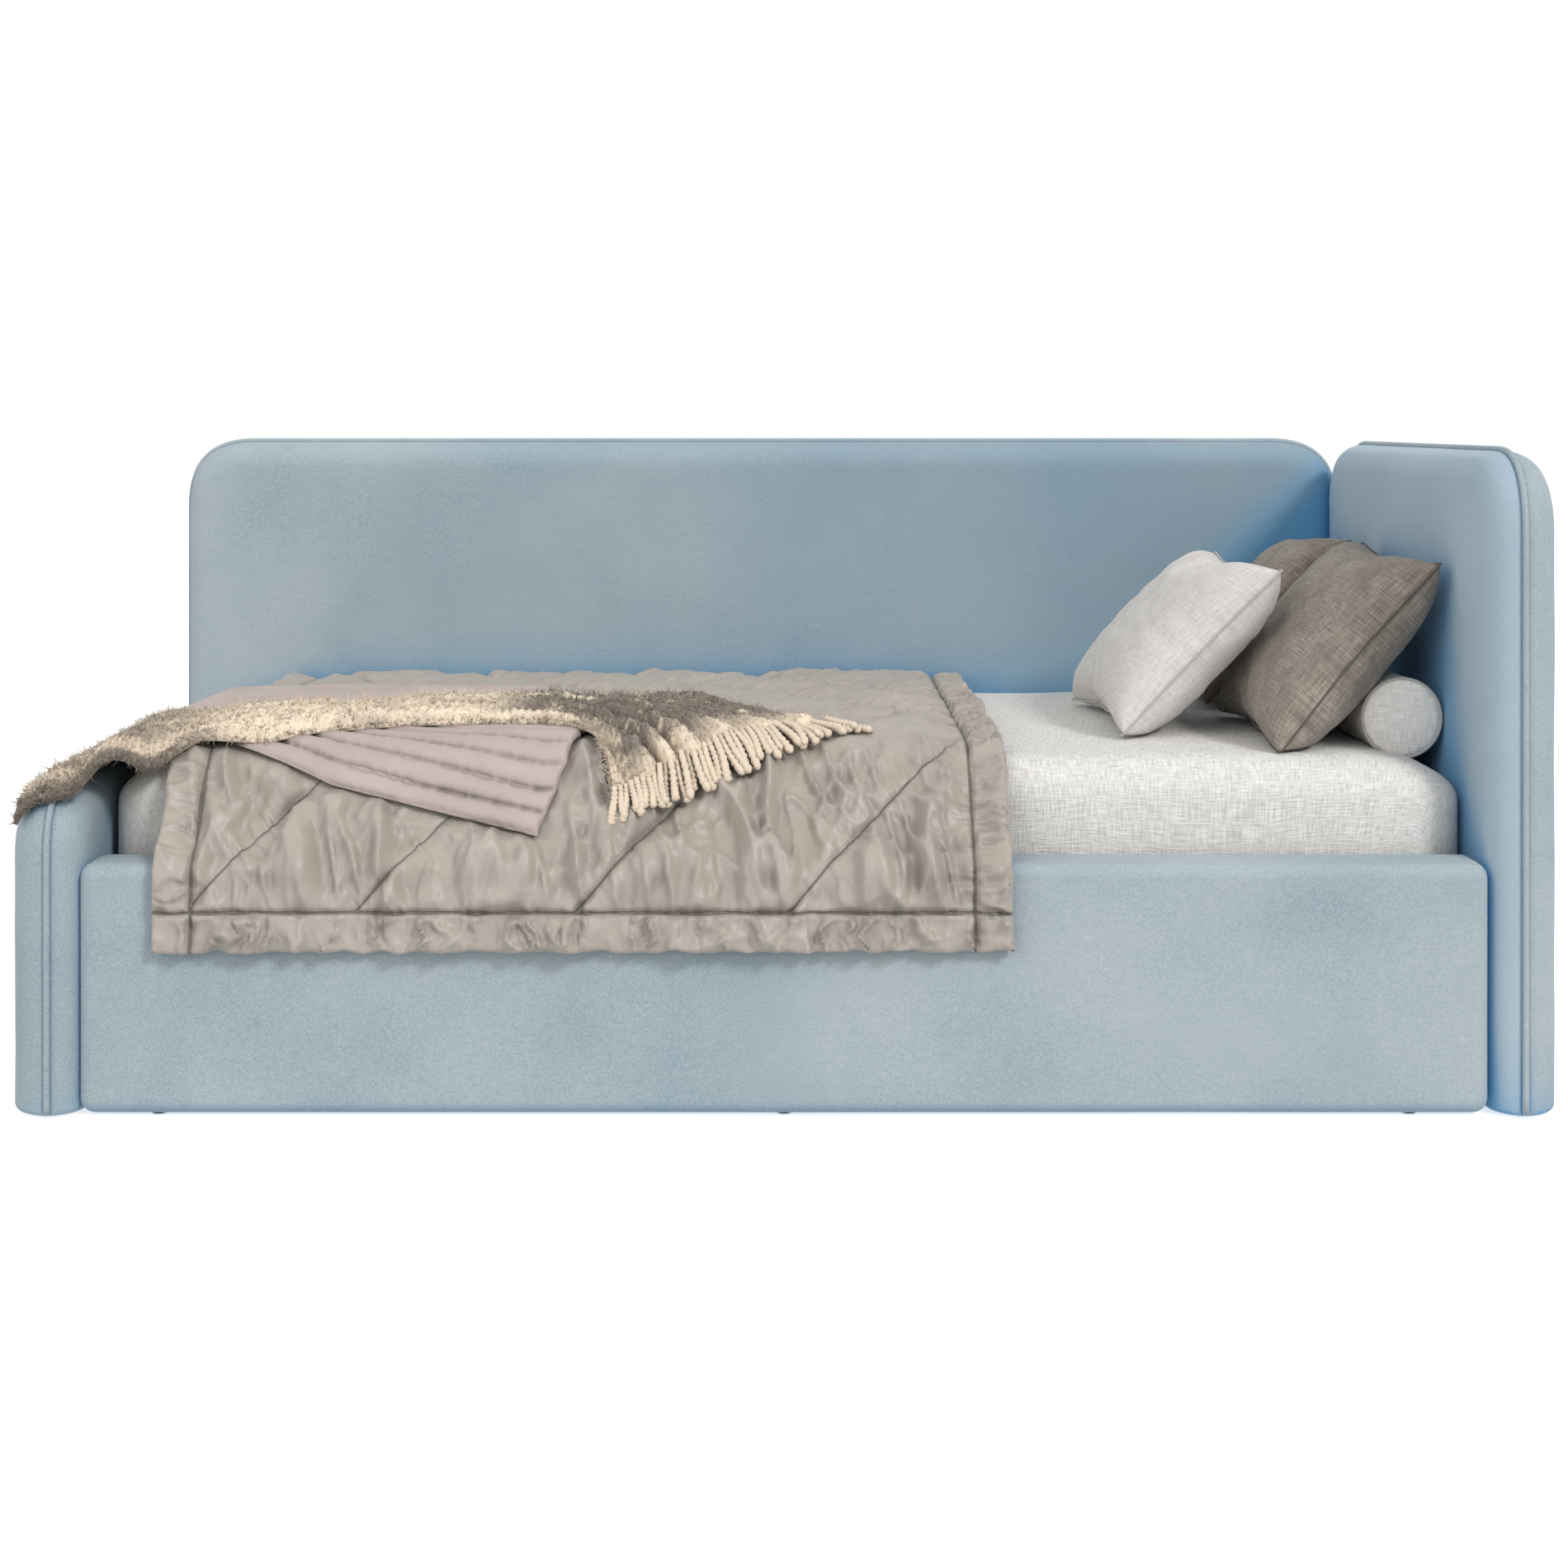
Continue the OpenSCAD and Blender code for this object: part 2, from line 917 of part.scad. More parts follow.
module coverlet() {
    color(pink) {
        intersection() {
            along_x(-960, -275)
                polygon(band(quilt_line, coverlet_low, coverlet_high));
            along_y(-640, 190)
                polygon([[-960, 560], [-960, 500], [-800, 500], [-352, 396], [-282, 500], [-282, 560]]);
        }
        over_foot(-110, 185, mattress_top + 11 + coverlet_low, 2, coverlet_t, 380);
    }
}

// Woollen throw: a tail over the foot panel, a band along the bed and a fan over the front edge
module throw_blanket() {
    top = mattress_top + 11 + throw_low;
    color(wool) {
        over_foot(-485, -120, top, 2, throw_t, 345);
        translate([0, 0, top])
            linear_extrude(throw_t)
                polygon([
                    [-926, -430], [-700, -400], [-560, -330], [-280, -340], [-245, -384], [-100, -384],
                    [-20, -384], [110, -270], [-60, -160], [-250, -100], [-420, -110], [-620, -170],
                    [-926, -180]
                ]);
        intersection() {
            along_x(-250, 0)
                polygon(band(quilt_line, throw_low, throw_high));
            along_y(-660, -383)
                polygon([[-250, 560], [-250, 405], [-150, 425], [-100, 440], [-20, 490], [0, 560]]);
        }
    }
}

module bolster() {
    color(linen)
        translate([bed_l / 2 - 2 - bolster_d / 2, -310, mattress_top - 23 + bolster_d / 2])
            rotate([-90, 0, 0])
                cylinder(h = 480, d = bolster_d);
}

// Square cushion: thin at the edge and thick in the middle
module cushion(w, h, t) {
    edge_r = 9;
    hull() {
        for (x = [-1, 1]) {
            for (y = [-1, 1]) {
                translate([x * (w / 2 - edge_r), y * (h / 2 - edge_r), 0])
                    sphere(edge_r, $fn = 12);
            }
        }
        scale([w * 0.36, h * 0.36, t / 2])
            sphere(1, $fn = 24);
    }
}

// Leans a cushion back towards the head panel
module leaning(centre, turn, tilt, roll) {
    translate(centre)
        rotate([0, 0, turn - 90])
            rotate([tilt, 0, 0])
                rotate([0, 0, roll])
                    children();
}

module cushion_white() {
    color(linen)
        leaning([640, -25, 662], 0, 49, -12)
            cushion(cushion_w, 330, 120);
}

module cushion_taupe_front() {
    color(taupe)
        leaning([868, -130, 664], 0, 47, 8)
            cushion(cushion_w, 350, 110);
}

module cushion_taupe_rear() {
    color(taupe)
        leaning([800, 238, 655], 6, 48, 0)
            cushion(cushion_w - 140, 340, 90);
}

// ---------- nodes ----------

head_panel_core();
head_panel_inner_pad();
head_panel_outer_pad();
head_panel_piping();
foot_panel_core();
foot_panel_inner_pad();
foot_panel_outer_pad();
foot_panel_piping();
back_panel_core();
back_panel_front_pad();
back_panel_rear_pad();
back_panel_piping();
front_rail_board();
front_rail_pad();
box_rear_board();
box_head_board();
box_foot_board();
support_ledgers();
storage_floor();
floor_bearers();
centre_feet();
panel_glides();
corner_brackets();
bracket_screws();
panel_bolts();
rest_buffers();
lift_plate_left();
lift_plate_right();
plate_bolts();
pivot_studs();
lift_arm_left();
lift_arm_right();
sync_tube();
strut_ball_studs();
control_arm_left();
control_arm_right();
strut_cylinder_left();
strut_cylinder_right();
strut_rod_left();
strut_rod_right();
base_frame();
slats();
slat_holders();
hinge_brackets();
hinge_pins();
mattress_stop();
pull_strap();
mattress();
quilt();
coverlet();
throw_blanket();
bolster();
cushion_white();
cushion_taupe_front();
cushion_taupe_rear();
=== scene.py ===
"""Looks of the upholstered corner daybed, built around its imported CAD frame. Lengths are in metres."""

import math

import bpy
import numpy as np
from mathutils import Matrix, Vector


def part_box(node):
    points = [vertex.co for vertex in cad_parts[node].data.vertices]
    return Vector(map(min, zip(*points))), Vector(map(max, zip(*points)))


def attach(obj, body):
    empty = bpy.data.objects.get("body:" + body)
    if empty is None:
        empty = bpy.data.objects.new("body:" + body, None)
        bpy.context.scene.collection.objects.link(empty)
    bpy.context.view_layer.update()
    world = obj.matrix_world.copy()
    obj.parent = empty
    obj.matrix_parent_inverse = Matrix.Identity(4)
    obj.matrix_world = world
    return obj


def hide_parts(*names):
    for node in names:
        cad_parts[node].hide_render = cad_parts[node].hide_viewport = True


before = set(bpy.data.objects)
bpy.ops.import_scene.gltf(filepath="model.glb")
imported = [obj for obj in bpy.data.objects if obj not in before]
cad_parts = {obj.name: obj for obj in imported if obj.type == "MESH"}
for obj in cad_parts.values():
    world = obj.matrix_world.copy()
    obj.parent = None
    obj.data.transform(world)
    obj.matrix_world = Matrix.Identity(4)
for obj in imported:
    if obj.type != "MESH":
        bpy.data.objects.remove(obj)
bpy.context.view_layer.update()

# ---- camera, lights and floor

CAMERA_Y = -3.895
CAMERA_Z = 1.0
LENS = 53.79
SHIFT_Y = -0.2332
SENSOR = 36


def add_camera():
    """A level camera straight in front of the bed, shifted down as the photograph is framed."""
    data = bpy.data.cameras.new("camera")
    data.lens = LENS
    data.sensor_width = SENSOR
    data.shift_y = SHIFT_Y
    camera = bpy.data.objects.new("camera", data)
    camera.location = (0, CAMERA_Y, CAMERA_Z)
    camera.rotation_euler = (math.radians(90), 0, 0)
    bpy.context.scene.collection.objects.link(camera)
    bpy.context.scene.camera = camera


SKY_LIGHT = 0.74
SKY_SEEN = 1.03
# Each lamp's name, strength, degrees to the right of the camera's side, height in degrees and softness
LAMPS = (("key_light", 1.55, 40, 36, 12), ("fill_light", 0.75, -42, 30, 50))
FLOOR_HALF = 40.0
FLOOR_COLOUR = (0.7, 0.7, 0.7)
FLOOR_GLOW = 0.62


def add_sky(scene):
    """Plain white surroundings that light the bed less strongly than they look."""
    world = bpy.data.worlds.new("studio")
    world.use_nodes = True
    tree = world.node_tree
    background = tree.nodes["Background"]
    background.inputs["Color"].default_value = (1, 1, 1, 1)
    path = tree.nodes.new("ShaderNodeLightPath")
    strength = tree.nodes.new("ShaderNodeMapRange")
    strength.inputs["To Min"].default_value = SKY_LIGHT
    strength.inputs["To Max"].default_value = SKY_SEEN
    tree.links.new(path.outputs["Is Camera Ray"], strength.inputs["Value"])
    tree.links.new(strength.outputs["Result"], background.inputs["Strength"])
    scene.world = world


def add_studio():
    """White surroundings, a key light from the front right, a fill light and a plain pale floor."""
    scene = bpy.context.scene
    scene.view_settings.view_transform = "Standard"
    add_sky(scene)
    for name, strength, azimuth, elevation, softness in LAMPS:
        data = bpy.data.lights.new(name, "SUN")
        data.energy = strength
        data.angle = math.radians(softness)
        lamp = bpy.data.objects.new(name, data)
        lamp.rotation_euler = (math.radians(90 - elevation), 0, math.radians(azimuth))
        scene.collection.objects.link(lamp)
    corners = [(FLOOR_HALF * x, FLOOR_HALF * y, 0) for x, y in ((-1, -1), (1, -1), (1, 1), (-1, 1))]
    material = paint("floor", FLOOR_COLOUR, 0.9, emission_strength=FLOOR_GLOW)
    material.node_tree.nodes["Principled BSDF"].inputs["Emission Color"].default_value = (1, 1, 1, 1)
    floor = mesh_object("floor", np.array(corners), [(0, 1, 2, 3)], material)
    floor.visible_diffuse = False


# ---- numbers, the same each run


def unit(value):
    """The value kept from 0 to 1."""
    return np.clip(value, 0, 1)


def eased(x, low, high):
    """Smooth change from 0 at low to 1 at high."""
    t = unit((x - low) / (high - low))
    return t * t * (3 - 2 * t)


def soft_limit(value, limit, softness):
    """Keeps values below a limit, with a rounded change near it."""
    room = (limit - value) / softness
    return limit - softness * np.where(room > 30, room, np.log1p(np.exp(np.minimum(room, 30))))


def round_rim(share):
    """Quarter-round rise from 0 at a rim to 1, for shares of the way in from it."""
    return np.sqrt(unit(1 - (1 - unit(share)) ** 2))


def run_along(points):
    """Distance along a line of points from its first one."""
    return np.concatenate([[0], np.cumsum(np.linalg.norm(np.diff(points, axis=0), axis=1))])


def corner_reach(a, b, power):
    """Radius of a superellipse in the direction (a, b), as a share of its full radius."""
    return (np.abs(a) ** power + np.abs(b) ** power) ** (-1 / power)


def lattice(i, j, seed):
    """Hashed numbers from 0 to 1 at whole-number places, the same for the same seed."""
    n = (i * 374761393 + j * 668265263 + seed * 974634777) & 0xFFFFFFFF
    n = ((n ^ (n >> 13)) * 1274126177) & 0xFFFFFFFF
    return ((n ^ (n >> 16)) & 0xFFFF) / 65535.0


def soft_noise(x, y, cell_x, cell_y, seed):
    """Smooth bumps from -1 to 1 that are about a cell wide each way."""
    x, y = np.asarray(x, float) / cell_x, np.asarray(y, float) / cell_y
    i, j = np.floor(x).astype(np.int64), np.floor(y).astype(np.int64)
    a, b = x - i, y - j
    a, b = a * a * (3 - 2 * a), b * b * (3 - 2 * b)
    low = lattice(i, j, seed) * (1 - a) + lattice(i + 1, j, seed) * a
    high = lattice(i, j + 1, seed) * (1 - a) + lattice(i + 1, j + 1, seed) * a
    return 2 * (low * (1 - b) + high * b) - 1


def ridges(x, y, cell_x, cell_y, seed):
    """Creased bumps from 0 to 1, sharp in the hollows as gathered cloth is."""
    return np.abs(soft_noise(x, y, cell_x, cell_y, seed)) ** 0.8


# ---- meshes


def mesh_object(name, points, faces, material, uv=None):
    """A smooth mesh object. uv gives one place for each point."""
    mesh = bpy.data.meshes.new(name)
    mesh.from_pydata(np.asarray(points, float).reshape(-1, 3).tolist(), [], [tuple(f) for f in faces])
    mesh.update()
    mesh.polygons.foreach_set("use_smooth", [True] * len(mesh.polygons))
    if uv is not None:
        layer = mesh.uv_layers.new(name="flat")
        index = np.zeros(len(mesh.loops), np.int32)
        mesh.loops.foreach_get("vertex_index", index)
        layer.data.foreach_set("uv", np.asarray(uv, np.float32).reshape(-1, 2)[index].ravel())
    mesh.materials.append(material)
    piece = bpy.data.objects.new(name, mesh)
    bpy.context.scene.collection.objects.link(piece)
    return piece


def grid_quads(index):
    """Four-sided faces between the points of a grid, from the points' numbers."""
    corners = [index[:-1, :-1], index[:-1, 1:], index[1:, 1:], index[1:, :-1]]
    return np.stack(corners, -1).reshape(-1, 4)


def grid_rim(index):
    """Point numbers round the rim of a grid."""
    return np.concatenate([index[0, :], index[1:, -1], index[-1, -2::-1], index[-2:0:-1, 0]])


def shell(name, upper, lower, material, uv):
    """A closed piece between two grids of points of the same size."""
    index = np.arange(upper[..., 0].size).reshape(upper.shape[:2])
    rim = grid_rim(index)
    after = np.roll(rim, -1)
    sides = np.stack([after, rim, rim + index.size, after + index.size], -1)
    points = np.concatenate([upper.reshape(-1, 3), lower.reshape(-1, 3)])
    faces = np.concatenate([grid_quads(index), grid_quads(index + index.size)[:, ::-1], sides])
    both = np.concatenate([uv.reshape(-1, 2), uv.reshape(-1, 2)])
    return mesh_object(name, points, faces, material, both)


def upward_normals(points):
    """The direction at right angles to a grid surface at each point, upwards at its middle."""
    normal = np.cross(np.gradient(points, axis=0), np.gradient(points, axis=1))
    normal /= np.maximum(np.linalg.norm(normal, axis=-1, keepdims=True), 1e-12)
    rows, cols = points.shape[:2]
    return normal * np.sign(normal[rows // 2, cols // 2, 2])


def ride(piece, body, slot, *nodes):
    """The piece moves with a body and stands for CAD nodes. Its slot is not used."""
    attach(piece, body)
    if nodes:
        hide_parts(*nodes)
    return piece


def fix_normals(piece):
    """Turns a closed piece's faces outwards."""
    bpy.context.view_layer.objects.active = piece
    piece.select_set(True)
    bpy.ops.object.mode_set(mode="EDIT")
    bpy.ops.mesh.select_all(action="SELECT")
    bpy.ops.mesh.normals_make_consistent(inside=False)
    bpy.ops.object.mode_set(mode="OBJECT")
    piece.select_set(False)


def cover(name, upper, lower, material, uv, body, slot, node):
    """A closed soft piece between two grids of points, which stands for a CAD node."""
    piece = shell(name, upper, lower, material, uv)
    fix_normals(piece)
    return ride(piece, body, slot, node)


# ---- materials

VELVET_PALE = (0.350, 0.405, 0.430)
VELVET_DARK = (0.240, 0.315, 0.355)
VELVET_STREAK = (0.205, 0.300, 0.355)
# Pale painted glint for the velvet's grain
VELVET_GLINT = (0.52, 0.56, 0.575)
# Dark blue painted shade for the velvet's hollows
VELVET_PAINTED_SHADE = (0.075, 0.27, 0.50)
# Lighter, bluer velvet mixed in as painted light and blue shade on the head panel's inner face
VELVET_PAINTED_LIGHT = (0.36, 0.49, 0.59)
# Painted shade for the back panel towards its head corner
VELVET_SHADED = (0.17, 0.27, 0.345)
# The back panel's shade by its head corner lies under a line of this slope that starts at this X
SHADE_SLOPE = 0.83
SHADE_START = 1.01
PANEL_STREAKS = (30, 30, 620)
VELVET_GRAIN = 400.0
LINEN_THREADS, LINEN_SLUBS = 520, 42
SATIN_HOLLOW = 0.026
WOOL_HOLLOW = 0.012


def paint(name, colour, roughness, **sockets):
    """A new material with the shader's own sockets set."""
    material = bpy.data.materials.new(name)
    material.use_nodes = True
    shader = material.node_tree.nodes["Principled BSDF"]
    shader.inputs["Base Color"].default_value = (*colour, 1)
    shader.inputs["Roughness"].default_value = roughness
    for socket, value in sockets.items():
        shader.inputs[socket.replace("_", " ").title()].default_value = value
    return material


class Nodes:
    """Short calls for building a material's node tree."""

    def __init__(self, material):
        self.tree = material.node_tree
        self.shader = self.tree.nodes["Principled BSDF"]

    def add(self, kind, inputs=None, **settings):
        node = self.tree.nodes.new("ShaderNode" + kind)
        for key, value in settings.items():
            setattr(node, key, value)
        for key, value in (inputs or {}).items():
            if isinstance(value, bpy.types.NodeSocket):
                self.tree.links.new(value, node.inputs[key])
            else:
                node.inputs[key].default_value = value
        return node

    def place(self, scale=(1, 1, 1), use="Object"):
        """Coordinates of the surface, stretched by a scale for each axis."""
        source = self.add("TexCoord").outputs[use]
        return self.add("Mapping", {"Vector": source, "Scale": scale}).outputs["Vector"]

    def flat(self, x=1, y=1):
        """Coordinates on the cloth laid out flat, stretched along and across."""
        return self.place((x, y, 1), "UV")

    def axes(self, place):
        """A place's three coordinates."""
        return self.add("SeparateXYZ", {0: place}).outputs

    def open_share(self, reach, samples=8):
        """1 on open surface, less in hollows narrower than reach."""
        return self.add("AmbientOcclusion", {"Distance": reach}, samples=samples).outputs["AO"]

    def noise(self, vector, scale, detail=2.0, rough=0.5):
        inputs = {"Vector": vector, "Scale": scale, "Detail": detail, "Roughness": rough}
        return self.add("TexNoise", inputs).outputs["Fac"]

    def math(self, operation, a, b, c=0.0):
        return self.add("Math", {0: a, 1: b, 2: c}, operation=operation).outputs["Value"]

    def spread(self, value, low, high, to_low=0.0, to_high=1.0):
        """A value's range low to high, turned into another range."""
        inputs = {"Value": value, "From Min": low, "From Max": high, "To Min": to_low, "To Max": to_high}
        return self.add("MapRange", inputs).outputs["Result"]

    def times(self, a, b):
        return self.math("MULTIPLY", a, b)

    def mix(self, share, a, b):
        node = self.add("Mix", data_type="RGBA")
        for key, value in ((0, share), (6, a), (7, b)):
            if isinstance(value, bpy.types.NodeSocket):
                self.tree.links.new(value, node.inputs[key])
            else:
                node.inputs[key].default_value = (*value, 1) if isinstance(value, tuple) else value
        return node.outputs[2]

    def bump(self, height, distance, strength=1.0, normal=None):
        inputs = {"Height": height, "Distance": distance, "Strength": strength}
        if normal is not None:
            inputs["Normal"] = normal
        return self.add("Bump", inputs).outputs["Normal"]

    def set(self, socket, value):
        self.tree.links.new(value, self.shader.inputs[socket])


def velvet(name, streak_axes, corner_shade=False, hollows=0.9, reach=0.2, painted_light_share=0.0):
    """Short-pile upholstery velvet: random pale and dark nap patches with painted glints on its grain, and
    dark-blue painted shade in hollows no wider than reach. corner_shade darkens the back panel towards its
    head corner with painted shade and a painted shadow of the head panel. A share of a lighter, bluer velvet
    can be mixed in as painted light and blue shade."""
    material = paint(name, VELVET_DARK, 0.85, sheen_weight=0.22, sheen_roughness=0.42)
    shader = material.node_tree.nodes["Principled BSDF"]
    shader.inputs["Sheen Tint"].default_value = (0.9, 0.96, 1, 1)
    shader.inputs["Specular IOR Level"].default_value = 0.12
    n = Nodes(material)
    place = n.place()
    brushed = n.noise(place, 2.6, 3.0, 0.55)
    cloudy = n.noise(place, 9.0, 2.0, 0.5)
    streaks = n.noise(n.place(streak_axes), 1.0, 3.0, 0.65)
    grain = n.noise(place, VELVET_GRAIN, 2.0, 0.8)
    nap = n.mix(n.spread(brushed, 0.36, 0.64), VELVET_DARK, VELVET_PALE)
    nap = n.mix(n.spread(cloudy, 0.4, 0.75, 0.0, 0.3), nap, VELVET_PALE)
    nap = n.mix(n.spread(streaks, 0.35, 0.65, 0.0, 0.3), nap, VELVET_STREAK)
    # Painted highlight: pale glints on the grain
    nap = n.mix(n.spread(grain, 0.38, 0.70, 0.0, 0.48), nap, VELVET_GLINT)
    # Painted light and blue shade: a share of a lighter, bluer velvet
    nap = n.mix(painted_light_share, nap, VELVET_PAINTED_LIGHT)
    # Painted shade: dark blue mixed into hollows narrower than reach, at most the share given by hollows
    hollow = n.open_share(reach)
    depth = n.spread(hollow, 0.28, 0.64, hollows, 0.0)
    if corner_shade:
        # Painted shade: darker towards the back panel's head end, and a painted shadow of the head panel
        # below a slanting line
        x, _, z = n.axes(place)
        nap = n.mix(n.spread(x, -0.95, 0.55, 0.0, 0.62), nap, VELVET_SHADED)
        edge = n.math("ADD", z, n.math("MULTIPLY_ADD", x, -SHADE_SLOPE, SHADE_START * SHADE_SLOPE))
        below = n.spread(edge, 0.86, 0.97, 1.0, 0.0)
        across = n.spread(x, 0.35, 1.0, 0.0, 0.85)
        depth = n.math("MAXIMUM", depth, n.times(below, across))
    # Painted shade, including the back panel's painted shadow, mixed into the colour
    nap = n.mix(depth, nap, VELVET_PAINTED_SHADE)
    n.set("Base Color", nap)
    fine = n.bump(grain, 0.0006, 0.5)
    n.set("Normal", n.bump(streaks, 0.0008, 0.35, fine))
    return material


def linen(name, light, dark, mottled=0.35, yarn=1.0, bump=0.5):
    """Slubby plain weave: uneven warp and weft yarns over a soft mottle, laid out flat in metres."""
    material = paint(name, light, 0.92, sheen_weight=0.12, sheen_roughness=0.5)
    n = Nodes(material)
    fine, long = LINEN_THREADS * yarn, LINEN_SLUBS * yarn
    warp = n.noise(n.flat(fine, long), 1.0, 2.0, 0.6)
    weft = n.noise(n.flat(long, fine), 1.0, 2.0, 0.6)
    slub = n.math("MULTIPLY_ADD", n.spread(warp, 0.3, 0.7), 0.5, n.spread(weft, 0.3, 0.7, 0.0, 0.5))
    patches = n.noise(n.flat(), 14.0, 4.0, 0.6)
    cloth = n.mix(n.spread(slub, 0.2, 0.75), dark, light)
    cloth = n.mix(n.spread(patches, 0.42, 0.72, 0.0, mottled), cloth, dark)
    n.set("Base Color", cloth)
    thread = n.add("TexWave", {"Vector": n.flat(), "Scale": 90.0, "Distortion": 1.5})
    n.set("Normal", n.bump(thread.outputs["Fac"], 0.0003, 0.2, n.bump(slub, 0.0012, bump)))
    return material


def satin(name, light, dark, sheen=0.25, rough=0.5, crease_shade_share=1.0, stitched=False):
    """Brushed cotton satin with a low soft gloss, darkened by painted shade in the hollows of its folds."""
    material = paint(name, light, rough, sheen_weight=sheen, sheen_roughness=0.4)
    n = Nodes(material)
    cloudy = n.noise(n.flat(), 7.0, 3.0, 0.6)
    thread = n.noise(n.flat(900, 60), 1.0, 2.0, 0.6)
    cloth = n.mix(n.spread(cloudy, 0.3, 0.7), dark, light)
    cloth = n.mix(n.spread(thread, 0.3, 0.7, 0.0, 0.12), cloth, dark)
    # Painted shade: darker colour in fold hollows narrower than SATIN_HOLLOW
    hollow = n.open_share(SATIN_HOLLOW)
    painted_crease_shade = tuple(0.36 * c for c in dark)
    cloth = n.mix(n.spread(hollow, 0.35, 0.97, crease_shade_share, 0.0), cloth, painted_crease_shade)
    crumple = n.noise(n.flat(), 70.0, 3.0, 0.5)
    normal = n.bump(crumple, 0.0016, 0.3)
    if stitched:
        line = stitch_lines(n)
        cloth = n.mix(n.times(line, 0.75), cloth, tuple(0.22 * c for c in dark))
        normal = n.bump(n.math("SUBTRACT", 1.0, line), 0.002, 0.6, normal)
    n.set("Base Color", cloth)
    n.set("Normal", n.bump(thread, 0.0002, 0.3, normal))
    return material


# Half widths of a seam's dark line: fully dark, and gone
THREAD = (0.0009, 0.0027)


def stitch_lines(n):
    """1 on the quilt's seams and 0 off them, from its flat places in metres."""
    x, d, _ = n.axes(n.flat())
    left, right, hem = QUILT_X[0] + BORDER, QUILT_X[1] - BORDER, QUILT_LENGTH - BORDER
    inner = n.times(n.math("GREATER_THAN", x, left), n.math("LESS_THAN", x, right))
    front = n.times(n.math("GREATER_THAN", d, TURN_D), n.math("LESS_THAN", d, hem))
    front = n.times(inner, front)
    back = n.times(inner, n.math("LESS_THAN", d, TURN_D))
    shift = SEAM_SLOPE * hem
    lines = [(n.math("MULTIPLY_ADD", d, SEAM_SLOPE, x), start + shift, front) for start in FRONT_SEAMS]
    lines += [(n.math("MULTIPLY_ADD", d, -BACK_SLOPE, x), start, back) for start in BACK_SEAMS]
    lines += [(x, left, 1.0), (x, right, 1.0), (d, hem, 1.0)]
    total = 0.0
    for place, line, where in lines:
        away = n.math("ABSOLUTE", n.math("SUBTRACT", place, line), 0.0)
        total = n.math("MAXIMUM", total, n.times(n.spread(away, *THREAD, 1.0, 0.0), where))
    return total


STRIPES = 3.2
WOOL_CREAM, PLAIN_CREAM = (0.90, 0.77, 0.60), (0.80, 0.68, 0.53)
WOOL_OAT, PLAIN_OAT = (0.70, 0.58, 0.45), (0.62, 0.52, 0.40)
WOOL_BROWN = (0.15, 0.125, 0.10)
WOOL_SMOKE = (0.07, 0.062, 0.055)


def mohair(name, plain=False):
    """Brushed wool: cream with lengthwise grey-brown stripes, darker patches and crosswise ribs. Its
    flat places are shares along and across the throw. Plain wool has no stripes."""
    material = paint(name, (0.72, 0.60, 0.44), 0.95, sheen_weight=0.15, sheen_roughness=0.5)
    n = Nodes(material)
    cream, oat = (PLAIN_CREAM, PLAIN_OAT) if plain else (WOOL_CREAM, WOOL_OAT)
    fleck = n.noise(n.place(), 260.0, 3.0, 0.7)
    cloth = n.mix(n.spread(fleck, 0.3, 0.7), oat, cream)
    if not plain:
        x, y, _ = n.axes(n.flat())
        drift = n.noise(n.flat(5.0, 1.0), 1.0, 2.0, 0.5)
        across = n.math("MULTIPLY_ADD", drift, 0.2, y)
        bands = n.math("SINE", n.times(across, 2 * math.pi * STRIPES), 0.0)
        streak = n.noise(n.flat(14.0, 60.0), 1.0, 3.0, 0.7)
        patch = n.noise(n.flat(16.0, 5.0), 1.0, 3.0, 0.65)
        tail = n.times(n.spread(x, 0.26, 0.38, 0.6, 0.0), n.spread(bands, -0.9, -0.1, 0.15, 1.0))
        hem = n.times(n.spread(y, 0.05, 0.09, 1.0, 0.0), n.spread(x, 0.3, 0.4, 0.95, 0.0))
        fan = n.times(n.spread(x, 0.64, 0.70), n.spread(x, 0.92, 0.995, 1.0, 0.0))
        fan_patch = n.times(n.spread(patch, 0.36, 0.45), n.spread(y, 0.03, 0.10))
        fan = n.times(fan, fan_patch)
        fleece = n.times(n.spread(bands, 0.1, 0.7), n.spread(patch, 0.5, 0.6, 0.0, 0.3))
        tone = n.math("MAXIMUM", n.math("MAXIMUM", tail, fan), n.math("MAXIMUM", fleece, hem))
        tone = n.times(tone, n.spread(streak, 0.28, 0.46, 0.35, 1.0))
        tone = n.times(tone, n.spread(fleck, 0.3, 0.5, 0.7, 1.0))
        cloth = n.mix(n.math("MINIMUM", n.times(tone, 1.15), 0.88), cloth, WOOL_BROWN)
        cloth = n.mix(n.times(tone, n.spread(fleck, 0.5, 0.6, 0.0, 0.6)), cloth, WOOL_SMOKE)
    # Painted shade: darker colour in hollows narrower than WOOL_HOLLOW
    hollow = n.open_share(WOOL_HOLLOW)
    cloth = n.mix(n.spread(hollow, 0.2, 0.75, 0.55, 0.0), cloth, tuple(0.25 * c for c in oat))
    n.set("Base Color", cloth)
    waves = {"Vector": n.flat(), "Scale": 16.7, "Distortion": 2.0, "Detail Scale": 4.0}
    ribs = n.add("TexWave", waves)
    n.set("Normal", n.bump(fleck, 0.002, 0.8, n.bump(ribs.outputs["Fac"], 0.0022, 0.6)))
    return material


